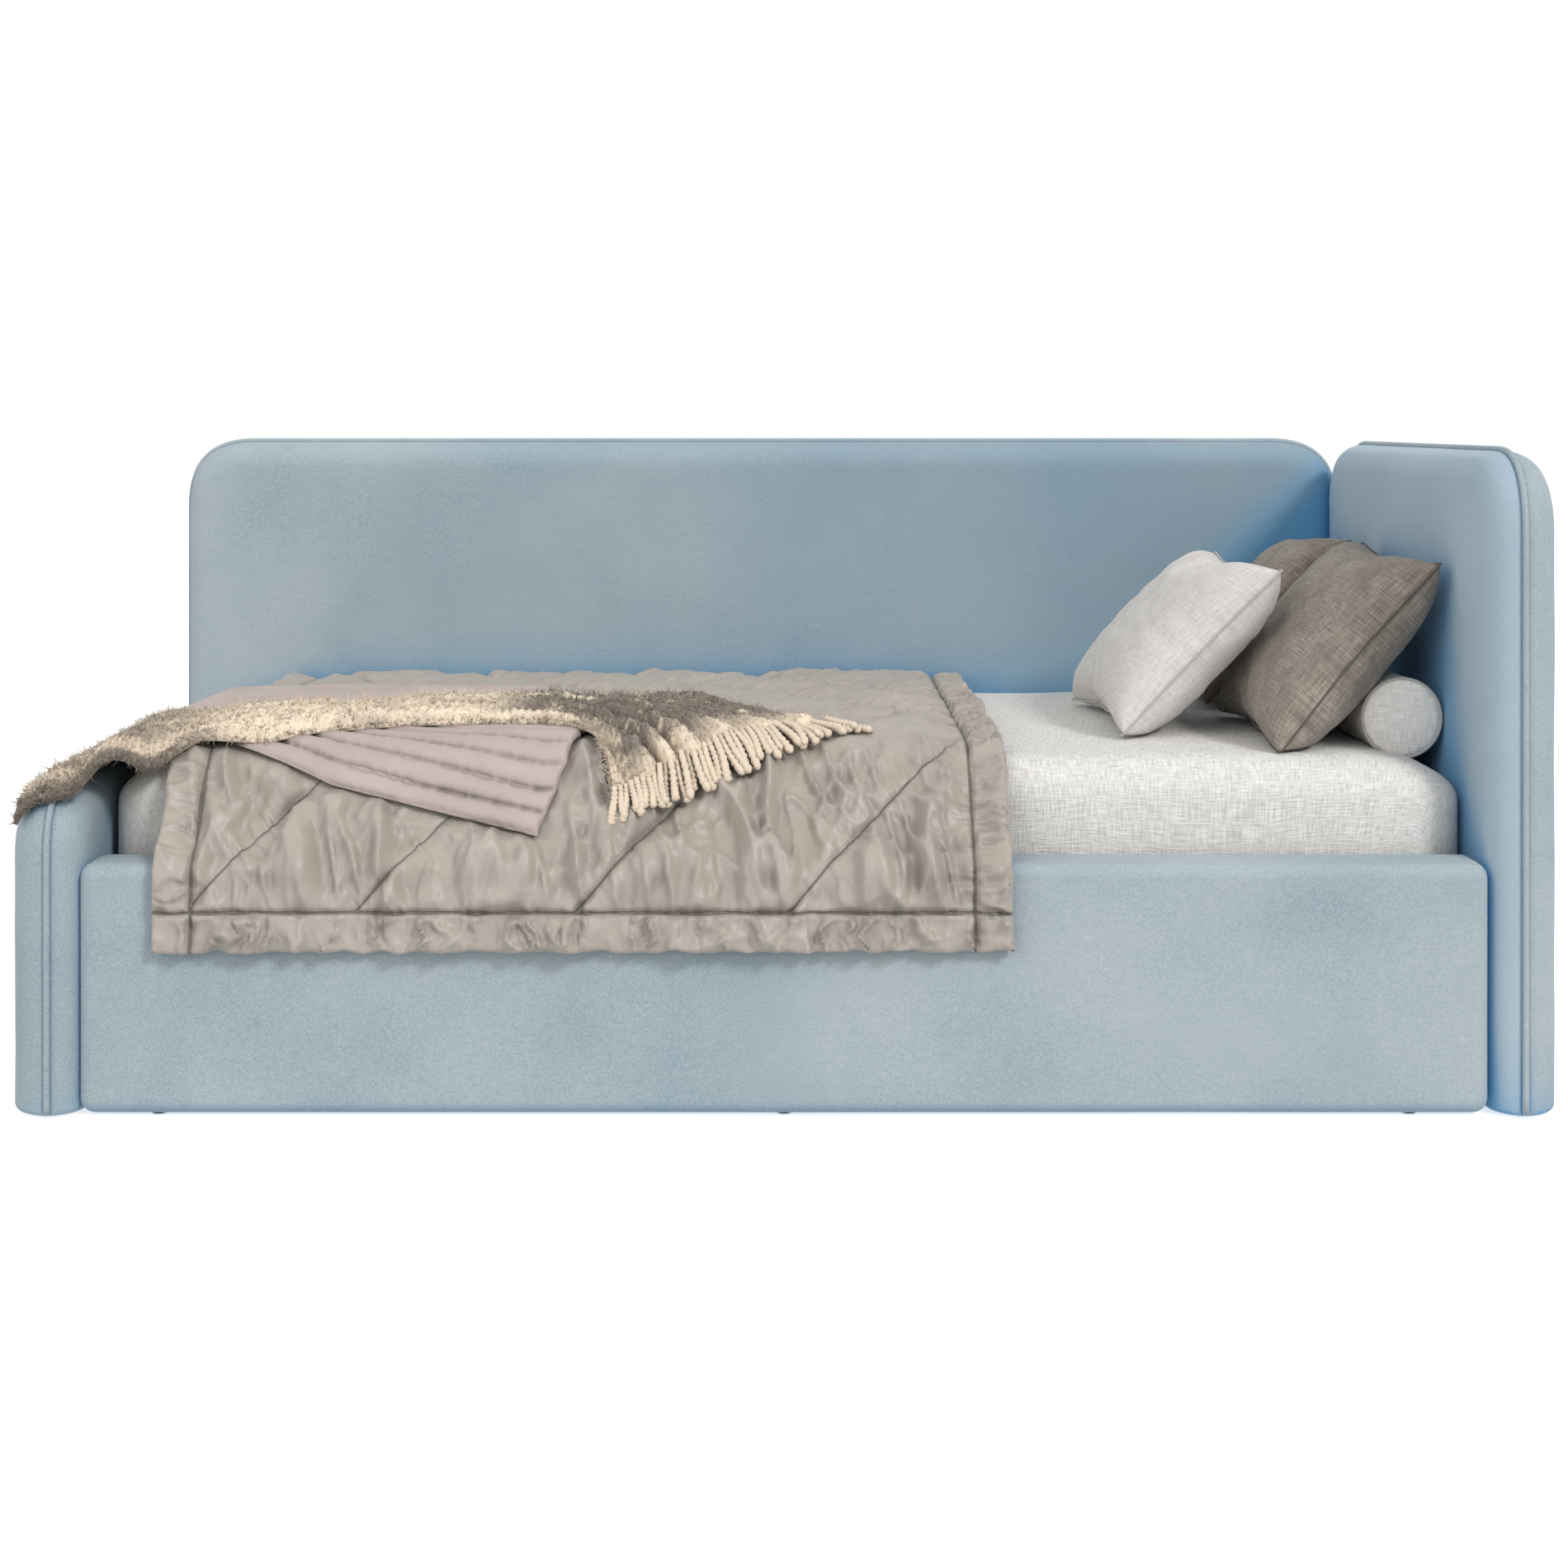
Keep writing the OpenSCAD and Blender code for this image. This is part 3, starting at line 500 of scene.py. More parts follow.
def grained(name, light, dark, axis_scale, rough=0.6):
    """Bare timber with grain lines along one axis."""
    material = paint(name, light, rough)
    n = Nodes(material)
    rings = n.noise(n.place(axis_scale), 1.0, 4.0, 0.6)
    pores = n.noise(n.place(tuple(6 * a for a in axis_scale)), 1.0, 2.0, 0.6)
    wood = n.mix(n.spread(rings, 0.35, 0.65), dark, light)
    wood = n.mix(n.spread(pores, 0.5, 0.7, 0.0, 0.35), wood, dark)
    n.set("Base Color", wood)
    n.set("Normal", n.bump(pores, 0.0004, 0.4))
    return material


def metal(name, colour, rough, metallic=1.0):
    """Plated or powder-coated steel with faint smudges."""
    material = paint(name, colour, rough, metallic=metallic)
    n = Nodes(material)
    smudge = n.noise(n.place(), 24.0, 4.0, 0.6)
    n.set("Roughness", n.spread(smudge, 0.3, 0.7, rough - 0.08, rough + 0.12))
    grain = n.noise(n.place(), 900.0, 2.0, 0.6)
    n.set("Normal", n.bump(grain, 0.0001, 0.25))
    return material


def moulded(name, colour, rough):
    """Moulded plastic or rubber with a fine eggshell grain."""
    material = paint(name, colour, rough)
    n = Nodes(material)
    grain = n.noise(n.place(), 700.0, 2.0, 0.6)
    n.set("Base Color", n.mix(grain, tuple(0.85 * c for c in colour), tuple(1.2 * c for c in colour)))
    n.set("Normal", n.bump(grain, 0.0002, 0.4))
    return material


# ---- rounded rectangular forms


def ring_lines(low, high, rings, radius, step, low_side=True):
    """Lines across one axis: (side, ring number, place) for each. Ring len(rings) is the inside."""
    inside_low = low + (radius if low_side else 0)
    room = high - radius - inside_low
    count = max(2, int(round(room / step)))
    lines = [(-1, k, None) for k in range(len(rings))] if low_side else []
    lines += [(0, len(rings), inside_low + room * i / count) for i in range(count + 1)]
    lines += [(1, k, None) for k in reversed(range(len(rings)))]
    return lines


def rounded_grid(u_span, v_span, radius, rings, step, power=2.0, v_low=True):
    """Grid over a rectangle with round corners. rings are (inset, height) from the rim inwards;
    the corners follow a superellipse. Returns u, v and height at each grid point."""
    u_lines = ring_lines(*u_span, rings, radius, step)
    v_lines = ring_lines(*v_span, rings, radius, step, v_low)
    count = len(rings)
    out = np.zeros((len(v_lines), len(u_lines), 3))
    top_height = rings[-1][1]
    for j, (sv, kv, pv) in enumerate(v_lines):
        for i, (su, ku, pu) in enumerate(u_lines):
            k = min(ku, kv)
            inset, height = rings[k] if k < count else (radius, top_height)
            cu = pu if su == 0 else (u_span[0] + radius if su < 0 else u_span[1] - radius)
            cv = pv if sv == 0 else (v_span[0] + radius if sv < 0 else v_span[1] - radius)
            if su and sv:
                ratio = (count - max(ku, kv)) / (count - k)
                angle = math.radians(45 * ratio)
                near, far = math.cos(angle), math.sin(angle)
                a, b = (near, far) if ku <= kv else (far, near)
                reach = (radius - inset) * corner_reach(a, b, power)
                out[j, i] = (cu + su * a * reach, cv + sv * b * reach, height)
            else:
                out[j, i] = (cu + su * (radius - inset), cv + sv * (radius - inset), height)
    return out


# ---- upholstered panels

GROOVE = 0.0045
CORE_HALF = 0.008
CORE_INSET = 0.03
PIPING_R = 0.0047
CORNER_POWER = 2.7
TALL_CORNER = 0.13
LOW_CORNER = 0.105
BOTTOM_R = 0.008
PANEL_STEP = 0.03
# How far the end panels' piping lies from the middle, and how far their pads stand proud of the CAD
HEAD_SHIFT, HEAD_PROUD = -0.002, 0.0
FOOT_SHIFT, FOOT_PROUD = 0.008, 0.006
OUTER_PROUD = 0.004
RAIL_CORNER = 0.024
RAIL_TURN = 0.02
SOFT_POWER = 2.2


def arc_rings(turn, base, degrees):
    """Rings over a quarter-round edge of radius turn that starts at height base."""
    angles = [math.radians(angle) for angle in degrees]
    return [(turn * (1 - math.cos(a)), base + turn * math.sin(a)) for a in angles]


def bullnose(half, corner):
    """Rings of a pad: from the piping groove, over the round edge, to its flat face."""
    turn = half - GROOVE
    rings = [(GROOVE, 0.0), (0.0012, 0.0028)]
    rings += arc_rings(turn, GROOVE, range(0, 91, 9))
    return rings + [(turn + (corner - turn) * share, half) for share in (0.2, 0.45, 0.72)]


def pad(name, u_span, v_span, half, corner, to_world, seed, material):
    """One upholstered half of a panel, closed at the panel's middle plane."""
    face = rounded_grid(u_span, v_span, corner, bullnose(half, corner), PANEL_STEP, CORNER_POWER, False)
    rows = []
    for angle in (0, 25, 50, 75):
        a = math.radians(angle)
        row = face[0].copy()
        row[:, 1] = v_span[0] + BOTTOM_R * (1 - math.cos(a))
        row[:, 2] = np.maximum(row[:, 2] - BOTTOM_R * (1 - math.sin(a)), 0)
        rows.append(row)
    face[0, :, 1] = v_span[0] + BOTTOM_R
    face = np.concatenate([np.stack(rows), face])
    u, v, w = np.moveaxis(face, -1, 0)
    calm = unit(w / half) ** 2
    soft = 0.0011 * soft_noise(u, v, 0.16, 0.13, seed) + 0.0005 * soft_noise(u, v, 0.05, 0.045, seed + 1)
    w = w + calm * (soft - 0.0008)
    back = np.zeros_like(w)
    inside = (u > u_span[0] + CORE_INSET) & (u < u_span[1] - CORE_INSET) & (v < v_span[1] - CORE_INSET)
    back[inside] = CORE_HALF
    back = np.minimum(back, w)
    return shell(name, to_world(u, v, w), to_world(u, v, back), material, np.stack([u, v], -1))


def panel_path(u_span, v_span, corner, out):
    """Line up one side of a panel, over its top and down the other side."""
    u0, u1, top, r = u_span[0] - out, u_span[1] + out, v_span[1] + out, corner + out
    path = [(u0, v) for v in np.linspace(v_span[0] + 0.002, top - r, 30)]
    for side, centre in ((-1, u0 + r), (1, u1 - r)):
        angles = np.linspace(0, 90, 25) if side < 0 else np.linspace(90, 0, 25)
        for a in np.radians(angles):
            c, s = abs(math.cos(a)), abs(math.sin(a))
            reach = r * corner_reach(c, s, CORNER_POWER)
            path.append((centre + side * c * reach, top - r + s * reach))
        if side < 0:
            path += [(u, top) for u in np.linspace(u0 + r, u1 - r, 60)[1:-1]]
    path += [(u1, v) for v in np.linspace(top - r, v_span[0] + 0.002, 30)]
    kept = [path[0]]
    for p in path[1:]:
        if math.dist(p, kept[-1]) > 0.001:
            kept.append(p)
    return np.array(kept)


def tube(path, radius, sides):
    """A closed tube along a line of points. Radius may be one number or one for each point."""
    path = np.asarray(path, float)
    radius = np.broadcast_to(np.asarray(radius, float), len(path))
    along = np.gradient(path, axis=0)
    along /= np.linalg.norm(along, axis=1, keepdims=True)
    side = np.cross(along[0], (0.31, 0.57, 0.76))
    rings = []
    for p, t, r in zip(path, along, radius):
        side = side - t * (side @ t)
        side /= np.linalg.norm(side)
        other = np.cross(t, side)
        angles = np.arange(sides) * 2 * math.pi / sides
        rings.append(p + r * (np.cos(angles)[:, None] * side + np.sin(angles)[:, None] * other))
    return tube_parts(np.array(rings))


def tube_parts(rings):
    """Points and faces of a tube from its rings."""
    count, sides = rings.shape[:2]
    index = np.arange(count * sides).reshape(count, sides)
    nxt = np.roll(index, -1, axis=1)
    faces = np.stack([index[:-1], nxt[:-1], nxt[1:], index[1:]], -1).reshape(-1, 4).tolist()
    faces.append(index[0][::-1].tolist())
    faces.append(index[-1].tolist())
    return rings.reshape(-1, 3), faces


def panel(side, u_span, v_span, halves, corner, planes, pads, seed):
    """Two pads and the piping between them. planes maps u, v and depth to the shared frame."""
    for (suffix, sign, material), half, shift in zip(pads, halves, (0, 7)):
        piece = pad(f"{side}_{suffix}", u_span, v_span, half, corner, planes(sign), seed + shift, material)
        ride(piece, "bedstead", "velvet", f"{side}_panel_{suffix}")
    out = PIPING_R * math.sqrt(2) - GROOVE + 0.0001
    path = panel_path(u_span, v_span, corner, out)
    middle = planes(1)(path[:, 0], path[:, 1], np.zeros(len(path)))
    points, faces = tube(middle, PIPING_R, 12)
    cord = mesh_object(side + "_piping_cord", points, faces, PIPING)
    ride(cord, "bedstead", "velvet", f"{side}_panel_piping")


def planes_across(axis, middle):
    """Maps for a panel at right angles to X (axis 0) or Y (axis 1): u runs along the other of them."""
    def planes(sign):
        def place(u, v, w):
            points = np.stack([u, u, v], -1)
            points[..., axis] = middle + sign * w
            return points
        return place
    return planes


def build_panels():
    """The head, foot and back panels."""
    ends = (("head", TALL_CORNER, 1, HEAD_SHIFT, HEAD_PROUD, VELVET, VELVET_HEAD, 11),
            ("foot", LOW_CORNER, -1, FOOT_SHIFT, FOOT_PROUD, VELVET_FOOT, VELVET_FOOT, 31))
    for side, corner, out, shift, proud, outer, inner, seed in ends:
        low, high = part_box(f"{side}_panel_outer_pad")
        half = high.x - low.x
        seam = (low.x if out > 0 else high.x) + shift
        halves = (half + OUTER_PROUD - out * shift, half + out * shift + proud)
        pads = (("outer_pad", out, outer), ("inner_pad", -out, inner))
        panel(side, (low.y, high.y), (low.z, high.z), halves, corner, planes_across(0, seam), pads, seed)
    low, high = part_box("back_panel_rear_pad")
    half = high.y - low.y
    pads = (("rear_pad", 1, VELVET), ("front_pad", -1, VELVET_BACK))
    spans = (low.x, high.x), (low.z, high.z)
    panel("back", *spans, (half, half), TALL_CORNER, planes_across(1, low.y), pads, 51)


def build_rail():
    """The padded front rail: one soft cover over its board."""
    low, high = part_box("front_rail_pad")
    turn = RAIL_TURN
    depth = high.y - low.y
    rings = [(0.0, 0.0), (0.0, turn), (0.0, depth - turn)]
    rings += arc_rings(turn, depth - turn, range(10, 91, 10))
    face = rounded_grid((low.x, high.x), (low.z, high.z), RAIL_CORNER, rings, PANEL_STEP, SOFT_POWER)
    u, v, w = np.moveaxis(face, -1, 0)
    calm = unit(w / depth) ** 3
    w = w + calm * (0.0012 * soft_noise(u, v, 0.2, 0.12, 71) - 0.0008)
    upper = np.stack([u, high.y - w, v], -1)
    lower = np.stack([u, np.full_like(u, high.y), v], -1)
    uv = np.stack([u, v], -1)
    cover("rail_cover", upper, lower, VELVET_RAIL, uv, "bedstead", "velvet", "front_rail_pad")


# ---- mattress

MATTRESS_TURN = 0.062
MATTRESS_CORNER = 0.078
FOOT_BULGE = 0.008
HEAD_BULGE = 0.006
END_DROP = 0.032


def build_mattress():
    """Sprung mattress in a taut linen sheet, with a soft slope at each end."""
    low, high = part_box("mattress")
    height = high.z - low.z
    turn = MATTRESS_TURN
    rings = [(0.012, 0.0), (0.004, 0.006), (0.0, 0.02)]
    rings += [(0.0, z) for z in np.linspace(0.035, height - turn, 9)]
    rings += arc_rings(turn, height - turn, range(10, 91, 8))
    spans = (low.x, high.x), (low.y, high.y)
    x, y, z = np.moveaxis(rounded_grid(*spans, MATTRESS_CORNER, rings, 0.012, SOFT_POWER), -1, 0)
    z = low.z + z
    on_top = unit((z - low.z) / height) ** 3
    slope = unit((x - (high.x - 0.17)) / 0.17) ** 2
    slope_foot = unit((low.x + 0.15 - x) / 0.15) ** 2
    z = z - on_top * (END_DROP * slope + END_DROP * slope_foot)
    wrinkle = 0.0016 * soft_noise(x, y, 0.09, 0.3, 5) + 0.0009 * soft_noise(x + y, y, 0.03, 0.12, 6)
    z = z + on_top * (wrinkle - 0.003)
    bulge = 0.003 * soft_noise(x, z, 0.22, 0.2, 8) + 0.0012 * soft_noise(x, z, 0.045, 0.1, 9) - 0.004
    front = unit((low.y + 0.05 - y) / 0.05) * (1 - on_top)
    y = y - front * bulge
    x = x - FOOT_BULGE * unit((low.x + 0.08 - x) / 0.08) + HEAD_BULGE * unit((x - high.x + 0.08) / 0.08)
    points = np.stack([x, y, z], -1)
    under = points.copy()
    under[..., 2] = low.z
    depth = high.z - z
    outward_x = np.clip((x - (low.x + high.x) / 2) / ((high.x - low.x) / 2), -1, 1) ** 9
    outward_y = np.clip((y - (low.y + high.y) / 2) / ((high.y - low.y) / 2), -1, 1) ** 9
    uv = np.stack([x + depth * outward_x, y + depth * outward_y], -1)
    piece = cover("mattress_sheet", points, under, SHEET_LINEN, uv, "base", "linen", "mattress")


# ---- quilt

# The (y, z) places of the quilt's middle layer, from its back edge to its hem
QUILT_PATH = [(0.438, 0.513), (-0.385, 0.513), (-0.430, 0.503), (-0.464, 0.475), (-0.484, 0.440),
              (-0.522, 0.394), (-0.552, 0.366), (-0.561, 0.346), (-0.561, 0.241)]
BED_BACK, BED_MIDDLE = QUILT_PATH[0]
QUILT_X = (-0.900, 0.328)
BORDER = 0.056
# Diagonal seams: places along X, at the hem seam for the front ones and at the back edge for the others,
# and slopes. The two families meet at TURN_D along the quilt.
FRONT_SEAMS = (-1.13, -0.852, -0.610, -0.297, 0.007)
BACK_SEAMS = (-1.317, -1.057, -0.837, -0.577, -0.317, -0.077)
SEAM_SLOPE = 0.87
BACK_SLOPE = 0.95
TURN_D = 0.56
PATH_STEP = 0.004
QUILT_STEP = 0.0034
# The quilt's relief stays between these heights, with changes this soft near them
QUILT_LEAST, QUILT_MOST = -0.008, 0.034
LEAST_SOFTNESS, MOST_SOFTNESS = 0.004, 0.003
# Heights of the quilt's folds
WIDE_FOLD, NARROW_FOLD = 0.072, 0.022
HEM_GATHER, SIDE_GATHER = 0.023, 0.019
LYING_FOLD = 0.014


def smooth_path(points, step):
    """Rounded line through given points, with places an even step apart."""
    points = np.asarray(points, float)
    for _ in range(3):
        cut = np.empty((2 * len(points) - 2, 2))
        cut[0::2] = 0.75 * points[:-1] + 0.25 * points[1:]
        cut[1::2] = 0.25 * points[:-1] + 0.75 * points[1:]
        points = np.concatenate([points[:1], cut, points[-1:]])
    length = run_along(points)
    even = np.linspace(0, length[-1], int(round(length[-1] / step)) + 1)
    return even, np.stack([np.interp(even, length, points[:, k]) for k in (0, 1)], -1)


BED_D, BED_LINE = smooth_path(QUILT_PATH, PATH_STEP)
QUILT_LENGTH = BED_D[-1]


def bed_surface(x, d):
    """Middle line of the quilt at x, at a distance d along it from its back edge."""
    return np.stack([x, np.interp(d, BED_D, BED_LINE[:, 0]), np.interp(d, BED_D, BED_LINE[:, 1])], -1)


def bed_normal(d):
    """The direction away from the bed at a distance d along the quilt's middle line."""
    slope = np.gradient(BED_LINE, axis=0)
    slope /= np.linalg.norm(slope, axis=1, keepdims=True)
    up = np.interp(d, BED_D, -slope[:, 0])
    out = np.interp(d, BED_D, slope[:, 1])
    return np.stack([np.zeros_like(up), out, up], -1)


def creased(a, b, cell_a, cell_b, seed):
    """Sharp-backed wrinkles from 0 to 1 that run along b and bend a little."""
    bend = 0.35 * cell_a * soft_noise(a, b, 2.3 * cell_a, 0.6 * cell_b, seed + 50)
    first = 1 - np.abs(soft_noise(a + bend, b, cell_a, cell_b, seed))
    second = 1 - np.abs(soft_noise(a - bend, b, 0.53 * cell_a, 0.6 * cell_b, seed + 7))
    return 0.68 * first**1.6 + 0.32 * second**1.6


def seam_effect(p, along, seed, reach, cell, height):
    """Height near a seam: a stitched groove and short puckers across it that die away from it."""
    p = np.abs(p)
    groove = -0.0065 * np.exp(-((p / 0.0038) ** 2))
    fade = np.exp(-p / reach) * (1 - 0.7 * np.exp(-p / 0.003))
    return groove + height * (creased(along, p, cell, 0.11, seed) - 0.55) * fade


def quilt_height(x, d, covered):
    """Height of the quilt's face over its middle layer. covered damps it under other bedding."""
    x0, x1 = QUILT_X
    hem = QUILT_LENGTH - BORDER
    left, right = x0 + BORDER, x1 - BORDER
    inner = (x > left) & (x < right) & (d < hem)
    nearest = np.minimum(np.minimum(np.abs(x - left), np.abs(x - right)), np.abs(d - hem))
    total = np.zeros_like(x)
    families = (
        (FRONT_SEAMS, -SEAM_SLOPE, SEAM_SLOPE * hem, 0.25, inner & (d > TURN_D), 100, (0.045, 0.027, 0.018)),
        (BACK_SEAMS, BACK_SLOPE, 0.0, 0.0, inner & (d < TURN_D + 0.05), 200, (0.05, 0.022, 0.018)),
    )
    for seams, slope, offset, slant, active, seed, look in families:
        size = math.hypot(1, slope)
        for number, start in enumerate(seams):
            p = (x - (start + offset + slope * d)) / size
            along = (abs(slope) * x + math.copysign(1, slope) * d) / size
            total += np.where(active, seam_effect(p, along + slant * p, seed + number, *look), 0)
            nearest = np.where(active, np.minimum(nearest, np.abs(p)), nearest)
    total += seam_effect(x - left, d, 301, 0.025, 0.019, 0.009)
    total += seam_effect(x - right, d, 302, 0.03, 0.014, 0.018)
    total += np.where(np.abs(d - hem) < 0.2, seam_effect(d - hem, x, 303, 0.022, 0.016, 0.010), 0)
    top = unit((0.86 - d) / 0.1)
    swell = 1 - np.exp(-nearest / 0.028)
    border = 0.013 * np.sqrt(unit(nearest / BORDER))
    total += np.where(inner, (0.010 + 0.006 * top) * swell, border)
    drop = unit((d - 0.80) / 0.12)
    lean = x - 0.22 * (d - 0.9)
    wide = creased(lean, d, 0.052, 0.15, 401) - 0.5
    narrow = creased(x + 0.3 * d, d, 0.030, 0.06, 402) - 0.5
    total += drop * (WIDE_FOLD * wide + NARROW_FOLD * narrow) * np.where(inner, swell, 0.25)
    curl = 0.012 * soft_noise(x, d, 0.03, 0.018, 407)
    gathers = creased(x + curl, d, 0.025, 0.05, 403) ** 3 - 0.25
    in_hem = unit((d - hem) / 0.010)
    total += HEM_GATHER * gathers * in_hem
    side_gathers = creased(d + curl, x, 0.017, 0.06, 404) ** 2 - 0.35
    in_side = unit((x - right) / 0.01) + unit((left - x) / 0.01) * 0.6
    total += SIDE_GATHER * side_gathers * in_side * (1 - in_hem) * np.clip(d / 0.4, 0.25, 1)
    lying = creased(x + d, x - d, 0.05, 0.16, 405) - 0.5
    total += LYING_FOLD * lying * top * np.where(inner, swell, 0.2)
    total += 0.0018 * soft_noise(x, d, 0.024, 0.03, 406) + 0.003
    total = LEAST_SOFTNESS * np.logaddexp(total / LEAST_SOFTNESS, QUILT_LEAST / LEAST_SOFTNESS)
    return total * (1 - 0.8 * covered) + 0.002 * covered


def build_quilt():
    """Diamond-stitched satin quilt with gathered borders, over the bed's front edge."""
    x = np.arange(QUILT_X[0], QUILT_X[1] + 0.001, QUILT_STEP)
    d = np.linspace(0, QUILT_LENGTH, int(QUILT_LENGTH / QUILT_STEP))
    dd, xx = np.meshgrid(d, x, indexing="ij")
    edge = np.minimum(np.minimum(xx - x[0], x[-1] - xx), np.minimum(QUILT_LENGTH - dd, dd))
    rim = round_rim(edge / 0.012)
    lean = -0.014 * unit((1.0 - dd) / 0.4) * unit((-0.5 - xx) / 0.4)
    base = bed_surface(xx + lean, dd)
    wave = 0.004 * soft_noise(xx, dd, 0.026, 9.0, 411) * unit((dd - QUILT_LENGTH + 0.03) / 0.03)
    base[..., 2] += wave
    side_wave = 0.003 * soft_noise(dd, xx, 0.03, 9.0, 412) * unit((xx - x[-1] + 0.03) / 0.03)
    base[..., 0] += side_wave
    normal = bed_normal(dd)
    height = soft_limit(quilt_height(xx, dd, coverlet_share(xx, dd)), QUILT_MOST, MOST_SOFTNESS)
    upper = base + normal * ((0.003 + height) * rim + 0.0006)[..., None]
    lower = base - normal * (0.0065 * rim + 0.0006)[..., None]
    uv = np.stack([xx, dd], -1)
    piece = cover("quilt_cover", upper, lower, SATIN, uv, "base", "taupe_satin", "quilt")


# ---- coverlet

CHANNELS = 19
# The unrolled X of its foot end, and how far its back and front edges lie along the quilt
COVERLET_FOOT = -1.13
COVERLET_BACK = 0.262
COVERLET_FRONT = ((-0.96, -0.88, -0.80, -0.66, -0.352), (0.80, 0.83, 0.868, 0.93, 1.018))
COVERLET_LIFT = 0.0165
# How far towards the foot end it leaves the bed, and lies on the foot panel alone
COVERLET_CROSSES = (0.88, 0.99)
OVER_FOOT = 0.004


def coverlet_share(x, d):
    """1 where the coverlet lies on the quilt, 0 elsewhere, with a soft change at its edge."""
    edge = coverlet_front(x)
    inside = unit((edge + 0.03 - d) / 0.03) * unit((d - 0.26) / 0.03)
    return inside * unit((-0.27 - x) / 0.05)


def coverlet_front(x):
    """Distance along the quilt at which the coverlet's front edge lies."""
    return np.interp(x, *COVERLET_FRONT)


def foot_profile(x, bed_z, clear):
    """X and Z of cloth that crosses the foot panel, for an unrolled place x."""
    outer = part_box("foot_panel_outer_pad")[0].x - clear
    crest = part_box("foot_panel_piping")[1].z + clear
    r = 0.05
    line = [(-0.90, bed_z), (-0.95, bed_z - 0.002), (-0.985, bed_z - 0.014), (-1.02, crest + 0.004),
            (-1.05, crest)]
    turn = np.radians(range(0, 91, 15))
    line += [(outer + r - r * math.sin(a), crest - r + r * math.cos(a)) for a in turn]
    line += [(outer, crest - r - s) for s in (0.03, 0.06, 0.09, 0.12, 0.2)]
    line = np.array(line)
    run = line[0, 0] - run_along(line)
    order = np.argsort(run)
    return np.interp(x, run[order], line[order, 0]), np.interp(x, run[order], line[order, 1])


def draped(x, d, offset, clear):
    """Places of cloth on the bed at an offset over the quilt's middle layer, and over the foot panel."""
    base = bed_surface(np.maximum(x, -0.97), d) + bed_normal(d) * offset
    foot_x, foot_z = foot_profile(x, BED_MIDDLE + offset, clear)
    over = np.stack([foot_x, BED_BACK - d, foot_z], -1)
    share = eased(-x, *COVERLET_CROSSES)[..., None]
    return base * (1 - share) + over * share


def build_coverlet():
    """Thin cotton coverlet stitched in lengthwise channels, turned down over the front edge."""
    rows, cols = 400, 260
    bb, aa = np.meshgrid(np.linspace(0, 1, rows), np.linspace(0, 1, cols), indexing="ij")
    x_end = np.interp(bb, (0, 0.66, 1), (-0.410, -0.288, -0.352))
    x = COVERLET_FOOT + (x_end - COVERLET_FOOT) * aa
    back = COVERLET_BACK + 0.012 * np.sin(aa * 9)
    front_foot = BED_BACK + 0.112
    bend_x, bend_d = COVERLET_FRONT[0][0], COVERLET_FRONT[1][0]
    turned = front_foot + (bend_d - front_foot) * unit((x - COVERLET_FOOT) / (bend_x - COVERLET_FOOT)) ** 1.5
    front = np.where(x < bend_x, turned, coverlet_front(x))
    d = back + (front - back) * bb
    row = CHANNELS * bb
    channel = np.sin(math.pi * row) ** 2
    seam = np.exp(-((np.abs(((row + 0.5) % 1) - 0.5) / 0.09) ** 2))
    puckers = creased(x, row, 0.015, 0.9, 501) - 0.5
    height = 0.0065 * np.sqrt(channel) + 0.006 * puckers * np.exp(-channel / 0.4)
    height += 0.003 * soft_noise(x, d, 0.1, 0.07, 503) - 0.003 * seam
    edge = np.minimum(np.minimum(aa * 0.85, (1 - aa) * 0.85), np.minimum(bb, 1 - bb) * 0.6)
    rim = round_rim(edge / 0.008)
    wave = 0.004 * soft_noise(bb, aa, 0.028, 9.0, 504) * unit((aa - 0.97) / 0.03)
    middle = draped(x + wave, d, COVERLET_LIFT, OVER_FOOT)
    normal = upward_normals(middle)
    upper = middle + normal * ((height + 0.0015) * rim + 0.0006)[..., None]
    lower = middle - normal * (0.0012 * rim + 0.0006)[..., None]
    uv = np.stack([x, d], -1)
    piece = cover("coverlet_cloth", upper, lower, PINK, uv, "base", "pink_cotton", "coverlet")


# ---- throw

# Each station along the throw: its front edge and its rear edge, as unrolled places (x, y) on the bed
THROW_STATIONS = (
    ((-1.142, -0.550), (-1.150, -0.150)), ((-1.10, -0.545), (-1.10, -0.155)),
    ((-1.05, -0.540), (-1.05, -0.18)), ((-0.99, -0.540), (-0.99, -0.205)),
    ((-0.93, -0.493), (-0.93, -0.235)), ((-0.86, -0.425), (-0.86, -0.235)),
    ((-0.76, -0.432), (-0.76, -0.215)), ((-0.66, -0.39), (-0.66, -0.175)),
    ((-0.57, -0.345), (-0.56, -0.125)), ((-0.46, -0.328), (-0.45, -0.09)),
    ((-0.365, -0.330), (-0.33, -0.085)), ((-0.305, -0.375), (-0.21, -0.105)),
    ((-0.270, -0.43), (-0.11, -0.175)), ((-0.255, -0.475), (-0.01, -0.265)),
    ((-0.248, -0.520), (0.090, -0.342)),
)
THROW_GRID = (560, 240)
THROW_LIFT = 0.024
THROW_TOP = 0.535
THROW_CROSSES = (0.90, 0.985)
OVER_CORNER = 0.006
RIBS = 105
TASSELS = 42
TASSEL_STEPS = 18
TASSEL_SIDES = 7
TASSEL_LENGTHS = (0.044, 0.060)
TASSEL_R = 0.0056
HAIRS = 15000
HAIR_LENGTHS = (0.006, 0.013)
# A hair's shares along its length, and its thickness there
HAIR_STEPS = ((0.0, 0.00034), (0.45, 0.00028), (1.0, 0.0001))


